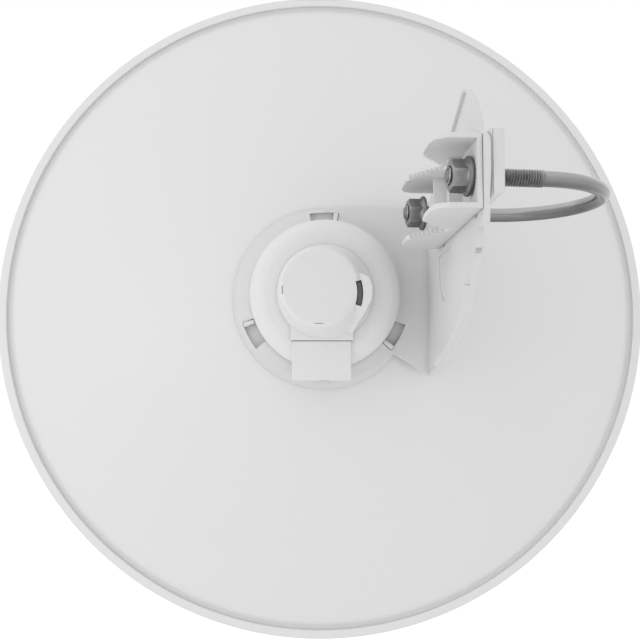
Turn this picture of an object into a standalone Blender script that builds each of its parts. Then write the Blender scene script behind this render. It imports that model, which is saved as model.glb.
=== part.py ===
"""Wireless dish antenna: a round reflector, a radio housing on its back, an L bracket and a pole clamp.

The origin is on the clamp's flat pole face. +X points to the pole, +Y along the dish's boresight, +Z up.
All sizes are in metres.
"""

import math

import bmesh
import bpy
from mathutils import Matrix, Vector

# Gap between pieces that touch, and the segments of a turned piece.
GAP = 0.0003
ROUND = 48

# The dish: a paraboloid with a flat band and a rolled bead at its rim.
DISH_RADIUS = 0.210
BEAD_RADIUS = 0.0021
BAND_INNER_RADIUS = 0.2005
BAND_STEP_RADIUS = 0.0010
BAND_STEP_Y = 0.0006
BAND_TO_BEAD = 0.0004
DISH_DEPTH = 0.076
SHEET = 0.0015
CREASE_Y = -0.0042
FOCAL_LENGTH = BAND_INNER_RADIUS**2 / (4 * (DISH_DEPTH + CREASE_Y))
DISH_SEGMENTS = 72
BOWL_STEPS = 10

# The dish's rim centre, seen from the pole face.
DISH_CENTRE = Vector((-0.0718, 0.170, -0.038))

# The clamp sits slightly askew on the bracket, and the U-bolt hangs askew in its holes.
CLAMP_YAW = math.radians(1.7)
U_BOLT_YAW = math.radians(4.8)

# Clamp stack along the clamp's own X, from the pole face back to the nuts.
JAW_THICKNESS = 0.0062
FIN_THICKNESS = 0.0027
WALL_THICKNESS = 0.0023
FIN_FACE_X = -JAW_THICKNESS - GAP
FIN_BACK_X = FIN_FACE_X - FIN_THICKNESS
WALL_FACE_X = FIN_BACK_X - GAP
WALL_BACK_X = WALL_FACE_X - WALL_THICKNESS

# Jaw plate: its ends, top and bottom, and the slope that takes its lower back corner down.
JAW_HALF_LENGTH = 0.0555
JAW_TOP_Z = 0.0185
JAW_BOTTOM_Z = -0.0095
JAW_SLOPE = 0.0027

# U-bolt and its nuts, with the size of an M8 thread.
LEG_HALF_SPACING = 0.0412
THREAD_RADIUS = 0.0040
ROD_RADIUS = 0.0036
BEND_CENTRE_X = 0.0182
NEAR_THREAD_END_X = 0.0175
FAR_THREAD_END_X = 0.0070
THREAD_OVERLAP = 0.002
BOLT_TIP_X = -0.0268
NUT_FACE_X = -0.0163
NUT_HEIGHT = 0.0090
NUT_FLANGE_THICKNESS = 0.0016
NUT_FLANGE_RADIUS = 0.00895
NUT_ACROSS_FLATS = 0.0130
BORE_CLEARANCE = 0.0002
LEG_HOLE_RADIUS = 0.0055

# Toothed clamp: a back wall with two horizontal plates, each with a V notch.
CLAMP_HALF_LENGTH = 0.0545
PLATE_HALF_HEIGHT = 0.0164
PLATE_THICKNESS = 0.0025
PLATE_TIP_X = -0.0308
EAR_DEPTH = 0.007
EAR_LENGTH = 0.010
NOTCH_HALF_MOUTH = 0.027
NOTCH_APEX_X = -0.0142
NOTCH_HALF_APEX = 0.0015
TEETH_PER_FLANK = 7
TOOTH_HEIGHT = 0.0013
FIRST_TOOTH = 0.10
TEETH_SHARE = 0.82
RIB_Y = 0.020
RIB_THICKNESS = 0.0025
RIB_TIP_X = -0.018

# Bracket: a thin round base that follows the bowl, an arm plate and a fin that turns about the clamp's axis.
BASE_BACK_Y = -0.080
BASE_FLAT_RADIUS = 0.0430
BASE_BREAK = (0.0495, -0.0765)
BASE_RADIUS = 0.0530
BASE_EDGE = 0.0014
ARM_BACK_Y = -0.078
ARM_FRONT_Y = -0.0735
ARM_NEAR_X = 0.040
ARM_FAR_X = 0.0612
ARM_TOP_Z = 0.052
ARM_BOTTOM_Z = -0.046
TILT_LIMIT = math.radians(15)
SLOT_HALF_WIDTH = 0.0055
SLOT_HALF_ANGLE = TILT_LIMIT + math.radians(2.5)
CUT_MARGIN = 0.002

# The fin's edge about the tilt axis, as (y, z).
FIN_FAR_Y = 0.0955
FIN_TOP_EDGE = [(FIN_FAR_Y, 0.0145), (0.0077, 0.0369), (-0.0205, 0.0468)]
FIN_PEAK_SIDE = [(-0.0240, 0.0440), (-0.0315, 0.0393), (-0.0411, 0.0289), (-0.0446, 0.0211)]
FIN_NEAR_EDGE = [(-0.0570, 0.0144), (-0.0570, 0.0000), (-0.0545, -0.0129), (-0.0536, -0.0222)]
FIN_STEP = [(-0.0412, -0.0224), (-0.0405, -0.0316), (-0.0388, -0.0346), (-0.0315, -0.0405)]
FIN_BOTTOM_EDGE = [
    (-0.0236, -0.0459),
    (-0.0164, -0.0562),
    (-0.0047, -0.0626),
    (0.0255, -0.0723),
    (0.0626, -0.0789),
    (FIN_FAR_Y, -0.0830),
]
TOP_LIP_START = (0.0300, 0.0312)
TOP_LIP_WIDTH = 0.0018
BOTTOM_LIP_WIDTH = 0.0026
LIP_THICKNESS = 0.0020
LIP_OVERLAP = 0.001

# A shallow pocket in the fin's side and a small notch in its edge.
POCKET_CENTRE = (0.0372, -0.0290)
POCKET_RADIUS = 0.0175
POCKET_TOP_Z = -0.0205
POCKET_DEPTH = 0.0012
FIN_NOTCH_Y = (-0.0500, -0.0365)
FIN_NOTCH_Z = (-0.0334, -0.0310)

# Three bayonet recesses in the base, partly under the housing, each with a tab at its clockwise end.
LOCK_ANGLES = {"top": 90.0, "lower_left": 207.5, "lower_right": 331.0}
LOCK_INNER_RADIUS = 0.0410
LOCK_OUTER_RADIUS = 0.0492
LOCK_HALF_ANGLE = 10.0
LOCK_FLOOR_Y = -0.0758
TAB_OFFSET_ANGLE = -8.0
TAB_HALF_ANGLE = 1.6
TAB_INNER_RADIUS = 0.0425
TAB_BACK_Y = -0.0788

# Radio housing on the bracket's base.
NECK_RADIUS = 0.0270
NECK_FRONT_Y = -0.0660
HOUSING_PROFILE = [(0.0420, -0.0930), (0.0402, -0.0963), (0.0370, -0.0990), (0.0335, -0.1000)]
HOUSING_BACK_Y = -0.1000

# Boss with its disc, a bulge to the right that holds the window, and a pad down to the port cover.
BOSS_BASE_Y = HOUSING_BACK_Y - GAP
BOSS_BASE_RADIUS = 0.0268
BOSS_TOP_Y = -0.1190
BOSS_TOP_RADIUS = 0.0212
DISC_RADIUS = 0.0186
DISC_X = -0.0035
DISC_Z = 0.0010
DISC_SEAT_DEPTH = 0.0015
DISC_RAISE = 0.0002
BULGE_BACK_Y = -0.1172
BULGE_OUTLINE = [
    (0.0120, 0.0110),
    (0.0182, 0.0088),
    (0.0228, 0.0070),
    (0.0252, 0.0015),
    (0.0246, -0.0072),
    (0.0218, -0.0128),
    (0.0148, -0.0205),
    (0.0060, -0.0160),
]
PAD_BACK_Y = -0.1030
PAD_LEFT_X = -0.0190
PAD_RIGHT_X = 0.0154
WINDOW_INNER_RADIUS = 0.0203
WINDOW_OUTER_RADIUS = 0.0243
WINDOW_FIRST_ANGLE = -25.0
WINDOW_LAST_ANGLE = 7.0
WINDOW_FLOOR_Y = -0.1135
WINDOW_BACK_Y = -0.1164

# Port cover under the housing, and the grommet in its lower end.
COVER_HALF_WIDTH = 0.0163
COVER_CENTRE_X = -0.0020
COVER_TOP_Z = -0.0269
COVER_BOTTOM_Z = -0.0485
COVER_BACK_Y = -0.1018
COVER_FRONT_Y = -0.0840
COVER_EDGE = 0.0012
GROMMET_RADIUS = 0.0032
GROMMET_CENTRE = (-0.0006, -0.0925)
GROMMET_DEPTH = 0.0040
GROMMET_REACH = 0.0010

# Feed in front of the dish: ring, collar, tube, head and cap, each as (radius, y) around the axis.
RING_RADIUS = 0.0375
RING_BACK_Y = -0.0712
RING_FRONT_Y = -0.0670
RING_CHAMFER = 0.0015
FEED_COLLAR_RADIUS = 0.0250
FEED_COLLAR_STEP_Y = -0.0600
FEED_COLLAR_END = (0.0160, -0.0480)
FEED_TUBE_RADIUS = 0.0135
FEED_TIP_RADIUS = 0.0120
FEED_HEAD_Y = 0.0200
FEED_HEAD_BACK_RADIUS = 0.0130
FEED_HEAD_RADIUS = 0.0280
FEED_HEAD_SHOULDER_Y = 0.0400
FEED_CAP_Y = 0.0440
FEED_CAP_EDGE = (0.0265, 0.0470)
FEED_CAP_BREAK = (0.0180, 0.0494)
FEED_END_Y = 0.0500

# Finish of each piece: base colour, roughness and metallic value.
WHITE_PAINT = ((0.80, 0.81, 0.82), 0.45, 0.0)
WHITE_PLASTIC = ((0.83, 0.84, 0.85), 0.40, 0.0)
BARE_DISC = ((0.78, 0.79, 0.80), 0.30, 0.0)
DARK_PLASTIC = ((0.05, 0.05, 0.06), 0.25, 0.0)
ZINC_STEEL = ((0.36, 0.37, 0.38), 0.35, 1.0)
RUBBER = ((0.30, 0.31, 0.32), 0.70, 0.0)


def clear_scene():
    """Remove whatever the scene holds."""
    for item in list(bpy.data.objects):
        bpy.data.objects.remove(item, do_unlink=True)


def make_material(name, finish):
    """A Principled material from (colour, roughness, metallic)."""
    colour, roughness, metallic = finish
    material = bpy.data.materials.new(name)
    material.use_nodes = True
    shader = material.node_tree.nodes["Principled BSDF"]
    shader.inputs["Base Color"].default_value = (*colour, 1.0)
    shader.inputs["Roughness"].default_value = roughness
    shader.inputs["Metallic"].default_value = metallic
    return material


def add_empty(name, parent, location, yaw):
    """An axis frame that other pieces are placed in."""
    frame = bpy.data.objects.new(name, None)
    bpy.context.scene.collection.objects.link(frame)
    frame.parent = parent
    frame.location = location
    frame.rotation_euler = (0.0, 0.0, yaw)
    return frame


def add_object(name, shape, parent, finish=None):
    """Turn a bmesh into an object under a frame. Without a finish it is a hidden cutter or union part."""
    bmesh.ops.remove_doubles(shape, verts=shape.verts, dist=1e-7)
    bmesh.ops.recalc_face_normals(shape, faces=shape.faces)
    mesh = bpy.data.meshes.new(name)
    shape.to_mesh(mesh)
    shape.free()
    mesh.shade_smooth()
    mesh.set_sharp_from_angle(angle=math.radians(30))
    piece = bpy.data.objects.new(name, mesh)
    bpy.context.scene.collection.objects.link(piece)
    piece.parent = parent
    if finish is None:
        piece.hide_render = True
        piece.display_type = "WIRE"
    else:
        mesh.materials.append(make_material(name, finish))
    return piece


def combine(piece, other, operation):
    """Cut a hidden object from a piece, or join it on."""
    modifier = piece.modifiers.new(f"{operation.lower()}_{other.name}", "BOOLEAN")
    modifier.operation = operation
    modifier.solver = "EXACT"
    modifier.object = other


def circle_points(radius, count, centre=(0.0, 0.0), first=0.0, last=2 * math.pi):
    """Points of an arc as (u, v) pairs. A full circle leaves out the repeated last point."""
    steps = count if abs(last - first - 2 * math.pi) < 1e-9 else count - 1
    angles = [first + (last - first) * step / steps for step in range(count)]
    return [(centre[0] + radius * math.cos(a), centre[1] + radius * math.sin(a)) for a in angles]


def turned(outline, segments, closed):
    """Spin an outline of (radius, y) points about the Y axis. A closed outline makes a ring."""
    shape = bmesh.new()
    verts = [shape.verts.new((radius, y, 0.0)) for radius, y in outline]
    pairs = list(zip(verts, verts[1:]))
    if closed:
        pairs.append((verts[-1], verts[0]))
    edges = [shape.edges.new(pair) for pair in pairs]
    bmesh.ops.spin(
        shape,
        geom=verts + edges,
        axis=(0.0, 1.0, 0.0),
        cent=(0.0, 0.0, 0.0),
        angle=2 * math.pi,
        steps=segments,
        use_merge=True,
    )
    bmesh.ops.remove_doubles(shape, verts=shape.verts, dist=1e-7)
    return shape


def extruded(outline, axis, low, high):
    """Extrude an outline along X, Y or Z. The outline is in (y, z), (x, z) or (x, y)."""
    place = {
        "X": lambda u, v, w: (w, u, v),
        "Y": lambda u, v, w: (u, w, v),
        "Z": lambda u, v, w: (u, v, w),
    }[axis]
    shape = bmesh.new()
    face = shape.faces.new([shape.verts.new(place(u, v, low)) for u, v in outline])
    grown = bmesh.ops.extrude_face_region(shape, geom=[face])["geom"]
    offset = Vector(place(0.0, 0.0, high - low))
    bmesh.ops.translate(shape, vec=offset, verts=[v for v in grown if isinstance(v, bmesh.types.BMVert)])
    return shape


def block(low, high):
    """A box between two corners."""
    shape = bmesh.new()
    bmesh.ops.create_cube(shape, size=1.0)
    size = Vector(high) - Vector(low)
    centre = (Vector(high) + Vector(low)) / 2
    bmesh.ops.scale(shape, vec=size, verts=shape.verts)
    bmesh.ops.translate(shape, vec=centre, verts=shape.verts)
    return shape


def round_bar(radius, low, high, axis, centre=(0.0, 0.0), segments=24):
    """A cylinder along an axis."""
    return extruded(circle_points(radius, segments, centre), axis, low, high)


def dish_back_y(radius):
    """The back surface of the bowl at a radius, before the sheet's thickness."""
    return -DISH_DEPTH + radius**2 / (4 * FOCAL_LENGTH)


def make_reflector(frame):
    """The bowl, its flat band and the rolled bead, turned in one piece."""
    hole = NECK_RADIUS + GAP
    radii = [hole + (BAND_INNER_RADIUS - hole) * step / BOWL_STEPS for step in range(BOWL_STEPS + 1)]
    back = [(r, dish_back_y(r)) for r in radii]
    front = [(r, dish_back_y(r) + SHEET) for r in reversed(radii)]
    bead_centre = (DISH_RADIUS - BEAD_RADIUS, -BEAD_RADIUS)
    bead = circle_points(BEAD_RADIUS, 9, bead_centre, math.radians(-160), math.radians(160))
    inner, outer = BAND_INNER_RADIUS + BAND_STEP_RADIUS, bead[0][0] - BAND_TO_BEAD
    back_y = CREASE_Y + BAND_STEP_Y
    band = [(inner, back_y), (outer, back_y)]
    band_front = [(outer, back_y + SHEET), (inner - BAND_TO_BEAD, back_y + SHEET)]
    outline = back + band + bead + band_front + front
    return add_object("reflector_dish", turned(outline, DISH_SEGMENTS, closed=True), frame, WHITE_PAINT)


def make_base_plate(frame):
    """The bracket's round base: flat under the housing, then down to a thin edge on the bowl."""
    hole = NECK_RADIUS + GAP
    steps = 4
    radii = [hole + (BASE_RADIUS - hole) * step / steps for step in range(steps + 1)]
    front = [(r, dish_back_y(r) - GAP) for r in radii]
    edge = [(BASE_RADIUS, front[-1][1] - BASE_EDGE), BASE_BREAK, (BASE_FLAT_RADIUS, BASE_BACK_Y)]
    outline = front + edge + [(hole, BASE_BACK_Y)]
    return add_object("mounting_bracket", turned(outline, 64, closed=True), frame, WHITE_PLASTIC)


def ring_sector(inner, outer, first, last, count, centre=(0.0, 0.0)):
    """The outline of a piece of a ring between two angles in degrees."""
    first, last = math.radians(first), math.radians(last)
    inside = circle_points(inner, count, centre, first, last)
    return circle_points(outer, count, centre, first, last) + inside[::-1]


def lip_strip(points, inset):
    """A thin strip just inside a run of edge points."""
    outer, inner = [], []
    for index, point in enumerate(points):
        before = Vector(points[max(index - 1, 0)])
        after = Vector(points[min(index + 1, len(points) - 1)])
        along = (after - before).normalized()
        outer.append((point[0] - along.y * GAP, point[1] + along.x * GAP))
        inner.append((point[0] - along.y * inset, point[1] + along.x * inset))
    return outer + inner[::-1]


def leg_slot_outline(side):
    """A curved slot about the tilt axis that a leg of the U-bolt passes through."""
    first, last = side - SLOT_HALF_ANGLE, side + SLOT_HALF_ANGLE
    start = (LEG_HALF_SPACING * math.cos(first), LEG_HALF_SPACING * math.sin(first))
    end = (LEG_HALF_SPACING * math.cos(last), LEG_HALF_SPACING * math.sin(last))
    outer = circle_points(LEG_HALF_SPACING + SLOT_HALF_WIDTH, 9, (0.0, 0.0), first, last)
    end_cap = circle_points(SLOT_HALF_WIDTH, 7, end, last, last + math.pi)[1:-1]
    inner = circle_points(LEG_HALF_SPACING - SLOT_HALF_WIDTH, 9, (0.0, 0.0), first, last)[::-1]
    start_cap = circle_points(SLOT_HALF_WIDTH, 7, start, first + math.pi, first + 2 * math.pi)[1:-1]
    return outer + end_cap + inner + start_cap


def make_fin(frame):
    """The hidden fin: a plate with two lips, cut by two leg slots, a pocket and a notch."""
    outline = FIN_TOP_EDGE + FIN_PEAK_SIDE + FIN_NEAR_EDGE + FIN_STEP + FIN_BOTTOM_EDGE
    fin = add_object("fin_plate", extruded(outline, "X", FIN_BACK_X, FIN_FACE_X), frame)
    top_strip = lip_strip([TOP_LIP_START] + FIN_TOP_EDGE[1:], LIP_THICKNESS)
    bottom_strip = lip_strip(FIN_BOTTOM_EDGE[:-1], LIP_THICKNESS)
    lips = {"top": (top_strip, TOP_LIP_WIDTH), "bottom": (bottom_strip, BOTTOM_LIP_WIDTH)}
    for name, (strip, width) in lips.items():
        lip = extruded(strip, "X", FIN_BACK_X - width, FIN_BACK_X + LIP_OVERLAP)
        combine(fin, add_object(f"fin_{name}_lip", lip, frame), "UNION")
    through = (FIN_BACK_X - CUT_MARGIN, FIN_FACE_X + CUT_MARGIN)
    for name, side in (("near", math.pi), ("far", 0.0)):
        slot = extruded(leg_slot_outline(side), "X", *through)
        combine(fin, add_object(f"fin_{name}_slot", slot, frame), "DIFFERENCE")
    y, _ = POCKET_CENTRE
    pocket_outline = circle_points(POCKET_RADIUS, 13, POCKET_CENTRE, math.pi, 2 * math.pi)
    pocket_outline += [(y + POCKET_RADIUS, POCKET_TOP_Z), (y - POCKET_RADIUS, POCKET_TOP_Z)]
    pocket = extruded(pocket_outline, "X", FIN_BACK_X - CUT_MARGIN, FIN_BACK_X + POCKET_DEPTH)
    combine(fin, add_object("fin_pocket", pocket, frame), "DIFFERENCE")
    low = (through[0], FIN_NOTCH_Y[0], FIN_NOTCH_Z[0])
    high = (through[1], FIN_NOTCH_Y[1], FIN_NOTCH_Z[1])
    combine(fin, add_object("fin_notch", block(low, high), frame), "DIFFERENCE")
    return fin


def make_mounting_bracket(dish_frame, tilt_frame):
    """Round base, arm plate and fin in one moulded piece, with three lock recesses in the base."""
    base = make_base_plate(dish_frame)
    lower_edge = [(ARM_NEAR_X, -0.033), (ARM_FAR_X, ARM_BOTTOM_Z)]
    upper_edge = [(ARM_FAR_X, ARM_TOP_Z), (0.002, ARM_TOP_Z), (0.002, 0.050), (ARM_NEAR_X, 0.032)]
    plate = extruded(lower_edge + upper_edge, "Y", ARM_BACK_Y, ARM_FRONT_Y)
    arm = add_object("bracket_arm", plate, dish_frame)
    combine(base, arm, "UNION")
    for name, angle in LOCK_ANGLES.items():
        first, last = angle - LOCK_HALF_ANGLE, angle + LOCK_HALF_ANGLE
        outline = ring_sector(LOCK_INNER_RADIUS, LOCK_OUTER_RADIUS, first, last, 7)
        recess = extruded(outline, "Y", BASE_BACK_Y - CUT_MARGIN, LOCK_FLOOR_Y)
        combine(base, add_object(f"lock_recess_{name}", recess, dish_frame), "DIFFERENCE")
    combine(base, make_fin(tilt_frame), "UNION")


def make_lock_tabs(frame):
    """The three bayonet tabs that stand in the base's lock recesses."""
    for name, angle in LOCK_ANGLES.items():
        middle = angle + TAB_OFFSET_ANGLE
        first, last = middle - TAB_HALF_ANGLE, middle + TAB_HALF_ANGLE
        outline = ring_sector(TAB_INNER_RADIUS, LOCK_OUTER_RADIUS - GAP, first, last, 3)
        tab = extruded(outline, "Y", TAB_BACK_Y, LOCK_FLOOR_Y - GAP)
        add_object(f"lock_tab_{name}", tab, frame, WHITE_PLASTIC)


def cover_block(grow):
    """The port cover's block, grown on all sides for the pocket that it sits in."""
    low = (COVER_CENTRE_X - COVER_HALF_WIDTH - grow, COVER_BACK_Y - grow, COVER_BOTTOM_Z - grow)
    high = (COVER_CENTRE_X + COVER_HALF_WIDTH + grow, COVER_FRONT_Y + grow, COVER_TOP_Z + grow)
    return block(low, high)


def make_rear_housing(frame):
    """The round radio housing with its neck through the base and the bowl."""
    housing_front_y = BASE_BACK_Y - GAP
    neck = [(0.0, NECK_FRONT_Y), (NECK_RADIUS, NECK_FRONT_Y), (NECK_RADIUS, housing_front_y)]
    shell = [(HOUSING_PROFILE[0][0], housing_front_y)] + HOUSING_PROFILE + [(0.0, HOUSING_BACK_Y)]
    housing = add_object("rear_housing", turned(neck + shell, 64, closed=False), frame, WHITE_PLASTIC)
    combine(housing, add_object("cover_pocket", cover_block(GAP), frame), "DIFFERENCE")


def boss_cone():
    """The boss's cone. Its top is set a little to the left and up."""
    shape = bmesh.new()
    depth = BOSS_BASE_Y - BOSS_TOP_Y
    upright = Matrix.Rotation(math.radians(90), 4, "X")
    bmesh.ops.create_cone(
        shape,
        cap_ends=True,
        segments=ROUND,
        radius1=BOSS_BASE_RADIUS,
        radius2=BOSS_TOP_RADIUS,
        depth=depth,
        matrix=Matrix.Translation((0.0, BOSS_BASE_Y - depth / 2, 0.0)) @ upright,
    )
    top = [v for v in shape.verts if v.co.y < BOSS_BASE_Y - depth / 2]
    bmesh.ops.translate(shape, vec=(DISC_X, 0.0, DISC_Z), verts=top)
    return shape


def window_sector(grow, low_y, high_y):
    """The window's arc beside the disc, grown for the seat that it sits in."""
    grow_angle = math.degrees(grow / WINDOW_OUTER_RADIUS)
    outline = ring_sector(
        WINDOW_INNER_RADIUS - grow,
        WINDOW_OUTER_RADIUS + grow,
        WINDOW_FIRST_ANGLE - grow_angle,
        WINDOW_LAST_ANGLE + grow_angle,
        7,
        (DISC_X, DISC_Z),
    )
    return extruded(outline, "Y", low_y, high_y)


def make_boss(frame):
    """The boss with its bulge and pad, the disc in its top and the window beside it."""
    boss = add_object("housing_boss", boss_cone(), frame, WHITE_PLASTIC)
    bulge = extruded(BULGE_OUTLINE, "Y", BULGE_BACK_Y, BOSS_BASE_Y)
    combine(boss, add_object("boss_bulge", bulge, frame), "UNION")
    pad = block((PAD_LEFT_X, PAD_BACK_Y, COVER_TOP_Z + GAP), (PAD_RIGHT_X, BOSS_BASE_Y, 0.0))
    combine(boss, add_object("boss_pad", pad, frame), "UNION")
    disc_centre = (DISC_X, DISC_Z)
    floor = BOSS_TOP_Y + DISC_SEAT_DEPTH
    seat = round_bar(DISC_RADIUS + GAP, BOSS_TOP_Y - CUT_MARGIN, floor, "Y", disc_centre, ROUND)
    combine(boss, add_object("disc_seat", seat, frame), "DIFFERENCE")
    window_seat = window_sector(GAP, BOSS_TOP_Y - CUT_MARGIN, WINDOW_FLOOR_Y)
    combine(boss, add_object("window_seat", window_seat, frame), "DIFFERENCE")
    disc = round_bar(DISC_RADIUS, BOSS_TOP_Y - DISC_RAISE, floor - GAP, "Y", disc_centre, ROUND)
    add_object("badge_disc", disc, frame, BARE_DISC)
    window = window_sector(0.0, WINDOW_BACK_Y, WINDOW_FLOOR_Y - GAP)
    add_object("status_window", window, frame, DARK_PLASTIC)


def make_port_cover(frame):
    """The sliding cover over the cable port, with a grommet in its lower end."""
    cover = add_object("port_cover", cover_block(0.0), frame, WHITE_PLASTIC)
    bevel = cover.modifiers.new("edges", "BEVEL")
    bevel.width = COVER_EDGE
    bevel.segments = 2
    top = COVER_BOTTOM_Z + GROMMET_DEPTH
    hole = round_bar(GROMMET_RADIUS + GAP, COVER_BOTTOM_Z - CUT_MARGIN, top, "Z", GROMMET_CENTRE)
    combine(cover, add_object("grommet_hole", hole, frame), "DIFFERENCE")
    plug = round_bar(GROMMET_RADIUS, COVER_BOTTOM_Z - GROMMET_REACH, top - GAP, "Z", GROMMET_CENTRE)
    add_object("cable_grommet", plug, frame, RUBBER)


def make_feed(frame):
    """The ring, collar, tube, head and cap on the axis in front of the bowl."""
    hole = NECK_RADIUS + GAP
    ring = [(hole, RING_BACK_Y), (hole, RING_FRONT_Y), (RING_RADIUS - RING_CHAMFER, RING_FRONT_Y)]
    ring += [(RING_RADIUS, RING_FRONT_Y - RING_CHAMFER), (RING_RADIUS, RING_BACK_Y)]
    add_object("retaining_ring", turned(ring, ROUND, closed=True), frame, WHITE_PLASTIC)
    collar = [(FEED_COLLAR_RADIUS, FEED_COLLAR_STEP_Y), FEED_COLLAR_END]
    add_turned("feed_collar", NECK_FRONT_Y, frame, FEED_COLLAR_RADIUS, collar)
    add_turned("feed_tube", FEED_COLLAR_END[1], frame, FEED_TUBE_RADIUS, [(FEED_TIP_RADIUS, FEED_HEAD_Y)])
    head = [(FEED_HEAD_RADIUS, FEED_HEAD_SHOULDER_Y), (FEED_HEAD_RADIUS, FEED_CAP_Y)]
    add_turned("feed_head", FEED_HEAD_Y, frame, FEED_HEAD_BACK_RADIUS, head)
    cap = [FEED_CAP_EDGE, FEED_CAP_BREAK, (0.0, FEED_END_Y)]
    add_turned("feed_cap", FEED_CAP_Y, frame, FEED_HEAD_RADIUS, cap)


def add_turned(name, seat_y, frame, first_radius, rest):
    """A turned solid that starts a gap in front of its seat, with its further (radius, y) points."""
    outline = [(0.0, seat_y + GAP), (first_radius, seat_y + GAP)] + rest
    if outline[-1][0] > 0.0:
        outline.append((0.0, outline[-1][1]))
    add_object(name, turned(outline, ROUND, closed=False), frame, WHITE_PLASTIC)


def make_pole_jaw(frame):
    """The flat plate between the fin and the pole."""
    lower_edge = [(0.0, JAW_BOTTOM_Z), (-JAW_THICKNESS, JAW_BOTTOM_Z - JAW_SLOPE)]
    outline = [(-JAW_THICKNESS, JAW_TOP_Z), (0.0, JAW_TOP_Z)] + lower_edge
    shape = extruded(outline, "Y", -JAW_HALF_LENGTH, JAW_HALF_LENGTH)
    jaw = add_object("pole_jaw", shape, frame, WHITE_PLASTIC)
    for name, side in (("near", -1), ("far", 1)):
        centre = (side * LEG_HALF_SPACING, 0.0)
        hole = round_bar(LEG_HOLE_RADIUS, -JAW_THICKNESS - CUT_MARGIN, CUT_MARGIN, "X", centre)
        combine(jaw, add_object(f"jaw_{name}_hole", hole, frame), "DIFFERENCE")


def notch_flank(side):
    """The toothed edge of the V notch as (x, y), from its mouth to its apex."""
    mouth = Vector((PLATE_TIP_X, side * NOTCH_HALF_MOUTH))
    apex = Vector((NOTCH_APEX_X, side * NOTCH_HALF_APEX))
    along = apex - mouth
    outward = Vector((along.y, -along.x)).normalized() * side * TOOTH_HEIGHT
    points = [mouth]
    pitch = TEETH_SHARE / TEETH_PER_FLANK
    for tooth in range(TEETH_PER_FLANK):
        valley = mouth + along * (FIRST_TOOTH + pitch * tooth)
        crest = mouth + along * (FIRST_TOOTH + pitch * (tooth + 0.5))
        points += [valley, crest + outward]
    points += [mouth + along * (FIRST_TOOTH + TEETH_SHARE), apex]
    return [(point.x, point.y) for point in points]


def plate_outline():
    """A clamp plate as (x, y): straight against the wall, with round ears and a toothed V notch."""
    end = -CLAMP_HALF_LENGTH
    near = [(WALL_FACE_X, end), (PLATE_TIP_X + EAR_DEPTH, end)]
    near += [(PLATE_TIP_X + 0.2 * EAR_DEPTH, end + 0.35 * EAR_LENGTH), (PLATE_TIP_X, end + EAR_LENGTH)]
    far = [(x, -y) for x, y in reversed(near)]
    return near + notch_flank(-1) + notch_flank(1)[::-1] + far


def make_toothed_clamp(frame):
    """Back wall, two notched plates and two ribs in one piece."""
    half = PLATE_HALF_HEIGHT
    wall = block((WALL_BACK_X, -CLAMP_HALF_LENGTH, -half), (WALL_FACE_X, CLAMP_HALF_LENGTH, half))
    clamp = add_object("toothed_clamp", wall, frame, WHITE_PLASTIC)
    for name, low in (("upper", half - PLATE_THICKNESS), ("lower", -half)):
        plate = extruded(plate_outline(), "Z", low, low + PLATE_THICKNESS)
        combine(clamp, add_object(f"{name}_plate", plate, frame), "UNION")
    for name, side in (("near", -1), ("far", 1)):
        y = side * RIB_Y
        reach = half - PLATE_THICKNESS / 2
        rib = block((RIB_TIP_X, y - RIB_THICKNESS / 2, -reach), (WALL_FACE_X, y + RIB_THICKNESS / 2, reach))
        combine(clamp, add_object(f"{name}_rib", rib, frame), "UNION")
        low, high = WALL_BACK_X - CUT_MARGIN, WALL_FACE_X + CUT_MARGIN
        hole = round_bar(LEG_HOLE_RADIUS, low, high, "X", (side * LEG_HALF_SPACING, 0.0))
        combine(clamp, add_object(f"wall_{name}_hole", hole, frame), "DIFFERENCE")


def u_bolt_path():
    """Centreline of the plain rod between the threaded ends."""
    bend = circle_points(LEG_HALF_SPACING, 19, (BEND_CENTRE_X, 0.0), -math.pi / 2, math.pi / 2)
    start = (NEAR_THREAD_END_X - THREAD_OVERLAP, -LEG_HALF_SPACING)
    end = (FAR_THREAD_END_X - THREAD_OVERLAP, LEG_HALF_SPACING)
    return [start] + bend + [end]


def sweep(path, radius, sides):
    """A round bar along a flat path in the XY plane, with closed ends."""
    shape = bmesh.new()
    rings = []
    for index, (x, y) in enumerate(path):
        before = Vector(path[max(index - 1, 0)])
        after = Vector(path[min(index + 1, len(path) - 1)])
        along = (after - before).normalized()
        across = Vector((along.y, -along.x, 0.0))
        centre = Vector((x, y, 0.0))
        section = circle_points(radius, sides)
        rings.append([shape.verts.new(centre + across * u + Vector((0.0, 0.0, v))) for u, v in section])
    for ring, following in zip(rings, rings[1:]):
        for side in range(sides):
            after = (side + 1) % sides
            shape.faces.new((ring[side], ring[after], following[after], following[side]))
    shape.faces.new(rings[0])
    shape.faces.new(rings[-1])
    return shape


def make_u_bolt(frame):
    """The bent rod with its two threaded ends, and a flange nut on each."""
    rod = add_object("u_bolt", sweep(u_bolt_path(), ROD_RADIUS, 16), frame, ZINC_STEEL)
    for name, side, thread_end in (("near", -1, NEAR_THREAD_END_X), ("far", 1, FAR_THREAD_END_X)):
        centre = (side * LEG_HALF_SPACING, 0.0)
        thread = round_bar(THREAD_RADIUS, BOLT_TIP_X, thread_end, "X", centre)
        combine(rod, add_object(f"{name}_thread", thread, frame), "UNION")
        make_flange_nut(f"{name}_flange_nut", frame, centre)


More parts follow.
